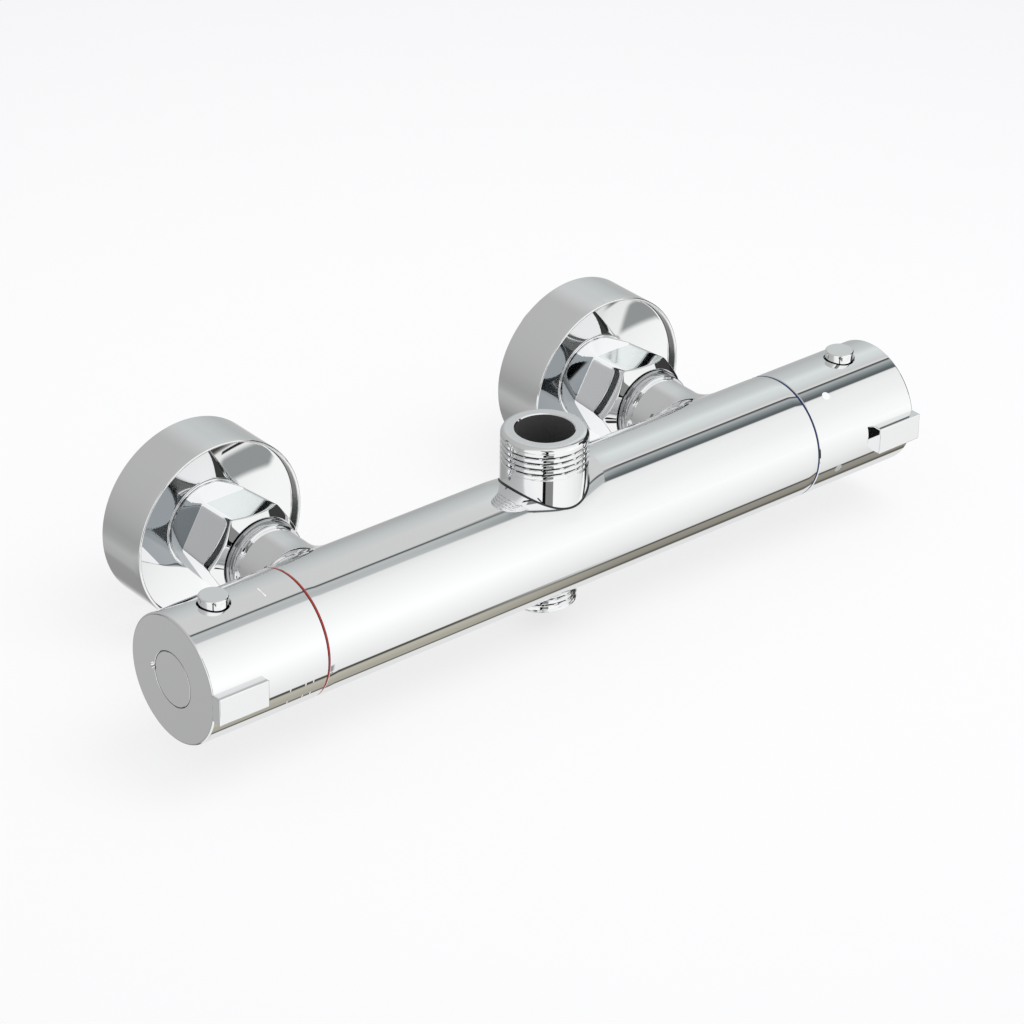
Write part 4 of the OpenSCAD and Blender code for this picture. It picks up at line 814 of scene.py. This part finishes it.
def thumb_tab():
    """A block with rounded edges, and a narrow inset on its flat sides that keeps them flat."""
    low, high = Vector(TAB_LOW), Vector(TAB_HIGH)
    tab = stretched_cube((low + high) / 2, high - low)
    select_only(tab)
    bpy.ops.object.mode_set(mode="EDIT")
    bpy.ops.mesh.select_all(action="SELECT")
    bpy.ops.mesh.bevel(offset=TAB_ROUND, segments=5, profile=0.5, affect="EDGES")
    bpy.ops.mesh.select_all(action="DESELECT")
    bpy.ops.object.mode_set(mode="OBJECT")
    for face in tab.data.polygons:
        face.select = face.area > TAB_FLAT_AREA
    bpy.ops.object.mode_set(mode="EDIT")
    bpy.ops.mesh.inset(thickness=0.00004, use_individual=True)
    bpy.ops.object.mode_set(mode="OBJECT")
    return tab


def lift_notch(side):
    """The cutter of the half-round notch at the plug's edge, where it is lifted out."""
    past = HANDLE_END + NOTCH_CLEAR
    outline = [(0, NOTCH_FLOOR), (NOTCH_R, NOTCH_FLOOR), (NOTCH_R, past), (0, past)]
    return lay(turned("notch_cut", outline, steps=32, closed=False),
               Matrix.Translation((0, NOTCH_OUT, 0)) @ along_bar(side))


def handle(side, name):
    well = [(0, WELL_FLOOR), (WELL_R, WELL_FLOOR), (WELL_R, WELL_FLARE_START), (WELL_MOUTH_R, WELL_FLARE_END),
            (WELL_MOUTH_R, WELL_MOUTH), (0, WELL_MOUTH)]
    tube = [(TUBE_IN, TUBE_LOW), (TUBE_R, TUBE_LOW), (TUBE_R, TUBE_HIGH), (TUBE_IN, TUBE_HIGH - TUBE_SLANT)]
    shell = lay(turned("handle_shell", handle_section(), steps=256), along_bar(side))
    carve(shell, lay(turned("well_cut", well, steps=64, closed=False), upright(side * BUTTON_X)))
    carve(shell, lift_notch(side))
    tab = lay(thumb_tab(), mirrored(side))
    guide = lay(turned("button_tube", tube, steps=96), upright(side * BUTTON_X))
    return join(name, [shell, tab, guide])


for side, name in KNOBS:
    shell = handle(side, name + "_handle_shell")
    finish_piece(shell, name + "_knob", [name + "_handle"], chrome, smooth=28)


# End plugs. Chromed discs pressed flush into the handle ends over the fixing screws, with a notch to lift them
# out. A thin black sealing ring lies in the groove round each.
PLUG_R, PLUG_BACK, PLUG_STUB_R, PLUG_STUB_IN = 0.00836, 0.1319, 0.00415, 0.003
PLUG_STUB_END, PLUG_HOLLOW = 0.1274, 0.1314
PLUG_EDGE = ((0.0003, 0), (0.00024, 0), (0.00013, 0.00005), (0.00006, 0.00014), (0, 0.0003))
SEAL_R, SEAL_Q, SEAL_THICK = 0.008385, 0.13326, 0.0002

plug_outline = [(0, HANDLE_END)] + [(PLUG_R - narrow, HANDLE_END - deep) for narrow, deep in PLUG_EDGE]
plug_outline += [(PLUG_R, PLUG_BACK), (PLUG_STUB_R, PLUG_BACK), (PLUG_STUB_R, PLUG_STUB_END),
                 (PLUG_STUB_IN, PLUG_STUB_END), (PLUG_STUB_IN, PLUG_HOLLOW), (0, PLUG_HOLLOW)]
seal_outline = [(SEAL_R + SEAL_THICK * math.cos(a), SEAL_Q + SEAL_THICK * math.sin(a)) for a in round_angles(10)]
for side, name in KNOBS:
    plug = lay(turned(name + "_end_plug", plug_outline, steps=128, closed=False), along_bar(side))
    carve(plug, lift_notch(side))
    finish_piece(plug, name + "_knob", [name + "_plug"], chrome, smooth=28)
for side, name in KNOBS:
    seal = lay(turned(name + "_plug_seal", seal_outline, steps=128), along_bar(side))
    finish_piece(seal, name + "_knob", [], black_bead, smooth=60)


# Release buttons. Chromed caps that stand proud of the handles in their wells, each on a stem with the finger
# that meets its stop.
CAP_R, CAP_TOP, CAP_ROUND, CAP_ROWS = 0.0044, 0.0221, 0.0005, 6
LIP_R, LIP_LOW, LIP_HIGH, STEM_R, STEM_END = 0.0056, 0.0148, 0.0159, 0.0020, 0.0082
FINGER_TIP, FINGER_MIDDLE, FINGER_SIZE = 0.1082, 0.00875, (0.0108, 0.003, 0.0015)

cap_outline = [(0, CAP_TOP), (CAP_R - 0.00058, CAP_TOP)]
cap_outline += [(CAP_R - CAP_ROUND * (1 - math.sin(a)), CAP_TOP - CAP_ROUND * (1 - math.cos(a)))
                for a in [math.pi / 2 * k / CAP_ROWS for k in range(CAP_ROWS + 1)]]
cap_outline += [(CAP_R, CAP_TOP - 0.0006), (CAP_R, LIP_HIGH), (LIP_R, LIP_HIGH), (LIP_R, LIP_LOW),
                (STEM_R, LIP_LOW), (STEM_R, STEM_END), (0, STEM_END)]
for side, knob in ((-1, "safety"), (1, "eco")):
    cap = turned(knob + "_button_cap", cap_outline, steps=96, closed=False)
    cap.data.transform(Matrix.Translation((BUTTON_X, 0, 0)))
    finger = stretched_cube(((FINGER_TIP + BUTTON_X) / 2, 0, FINGER_MIDDLE), FINGER_SIZE)
    button = lay(join(knob + "_button_cap", [cap, finger]), mirrored(side))
    finish_piece(button, knob + "_stop_button", [knob + "_button"], chrome, smooth=35)


# Marks on the handles. Pale enamel run into shallow cuts: a scale of short strokes on the temperature handle
# with its index line on top, and on the flow handle a round spot for each of the two outlets. The lower spot is
# the same enamel painted grey, painted shade.
STROKE_X, STROKE_DEGREES, STROKE_LONG, STROKE_WIDE = (0.107, 0.1017, 0.099), (-13.5, -28.5), 0.0004, 0.0011
INDEX_X, INDEX_DEGREES, INDEX_LONG, INDEX_WIDE, INDEX_CORNER = 0.105, 80, 0.0005, 0.0040, 0.0002
SPOT_X, SPOT_WIDE, UPPER_SPOT_DEGREES, LOWER_SPOT_DEGREES = 0.103, 0.0027, 54.5, -18.5
# the fill's layers, from its edge inwards: share of its outline, and height over the handle's skin
MARK_LAYERS = ((1, -0.00006), (1, 0.000006), (0.93, 0.000014), (0.6, 0.000016), (0.25, 0.000016))

enamel = moulded("pale_enamel", (0.86, 0.87, 0.86), 0.35, 0.000004, 0.03)
enamel_painted_shade = moulded("enamel_painted_shade", (0.5, 0.51, 0.5), 0.35, 0.000004, 0.03)


def mark(name, side, x, degrees, long, wide, corner=0.00012):
    """A thin fill on a handle's skin, long along the bar and wide round it, with round corners."""
    around, straight_x, straight_y = 32, max(long / 2 - corner, 0), max(wide / 2 - corner, 0)
    rim = []
    for a in [2 * math.pi * (k + 0.5) / around for k in range(around)]:
        rim.append((math.copysign(straight_x, math.cos(a)) + corner * math.cos(a),
                    math.copysign(straight_y, math.sin(a)) + corner * math.sin(a)))
    points = []
    for scale, height in MARK_LAYERS:
        for u, v in rim:
            a, r = math.radians(degrees) + v * scale / BAR_R, BAR_R + height
            points.append((side * (x + u * scale), -r * math.cos(a), r * math.sin(a)))
    faces = skin(len(MARK_LAYERS), around)
    faces += [tuple(range(around - 1, -1, -1)), tuple(range(len(points) - around, len(points)))]
    return lay(from_points(name, points, faces, inside_out=side > 0), upright())


strokes = [mark("stroke", -1, x, degrees, STROKE_LONG, STROKE_WIDE)
           for degrees in STROKE_DEGREES for x in STROKE_X]
strokes.append(mark("stroke", -1, INDEX_X, INDEX_DEGREES, INDEX_LONG, INDEX_WIDE, INDEX_CORNER))
finish_piece(join("temperature_marks", strokes), "temperature_knob", [], enamel, smooth=60)
# the lower spot is the same pale enamel painted grey: painted shade on the handle's shaded side
for name, degrees, slot, fill in (("upper_outlet_mark", UPPER_SPOT_DEGREES, "white_plastic", enamel),
                                  ("lower_outlet_mark", LOWER_SPOT_DEGREES, "grey_plastic", enamel_painted_shade)):
    spot = mark(name, 1, SPOT_X, degrees, SPOT_WIDE, SPOT_WIDE, SPOT_WIDE / 2)
    finish_piece(spot, "flow_knob", [], fill, smooth=60)


# Pieces inside. Brass caps and spindles, moulded cages, ceramic discs, rubber seals and stainless springs, all
# with plain workshop finishes and seen only where the valve is opened. They are the CAD nodes themselves.
turned_brass = polished("turned_brass", (0.72, 0.53, 0.25, 1), 0.16, 0.22, 0.000008, 400)
spring_steel = polished("spring_steel", (0.42, 0.42, 0.43, 1), 0.18, 0.15, 0.00001, 200)
white_moulding = moulded("white_moulding", (0.72, 0.71, 0.66), 0.45, 0.00003, 0.06)
grey_moulding = moulded("grey_moulding", (0.14, 0.145, 0.15), 0.42, 0.00003, 0.1)
lapped_ceramic = moulded("lapped_ceramic", (0.8, 0.78, 0.72), 0.12, 0.000004, 0.04)
black_rubber = moulded("black_rubber", (0.018, 0.018, 0.02), 0.6, 0.00005, 0.25)
inside = {
    turned_brass: ["thermo_bonnet", "thermo_spindle", "thermo_element", "flow_bonnet", "flow_spindle"],
    white_moulding: ["check_housing_hot", "check_housing_cold", "check_poppet_hot", "check_poppet_cold",
                     "thermo_housing", "temperature_stop_ring", "flow_stop_ring", "safety_guide", "eco_guide"],
    grey_moulding: ["flow_housing"],
    lapped_ceramic: ["moving_disc", "fixed_disc"],
    black_rubber: ["outlet_seals", "filter_washer_hot", "filter_washer_cold", "cartridge_seals", "disc_seal"],
    spring_steel: ["thermo_return_spring", "check_spring_hot", "check_spring_cold", "temperature_screw",
                   "flow_screw", "safety_spring", "eco_spring"]}
for material, names in inside.items():
    for node_name in names:
        refinish(node_name, material)
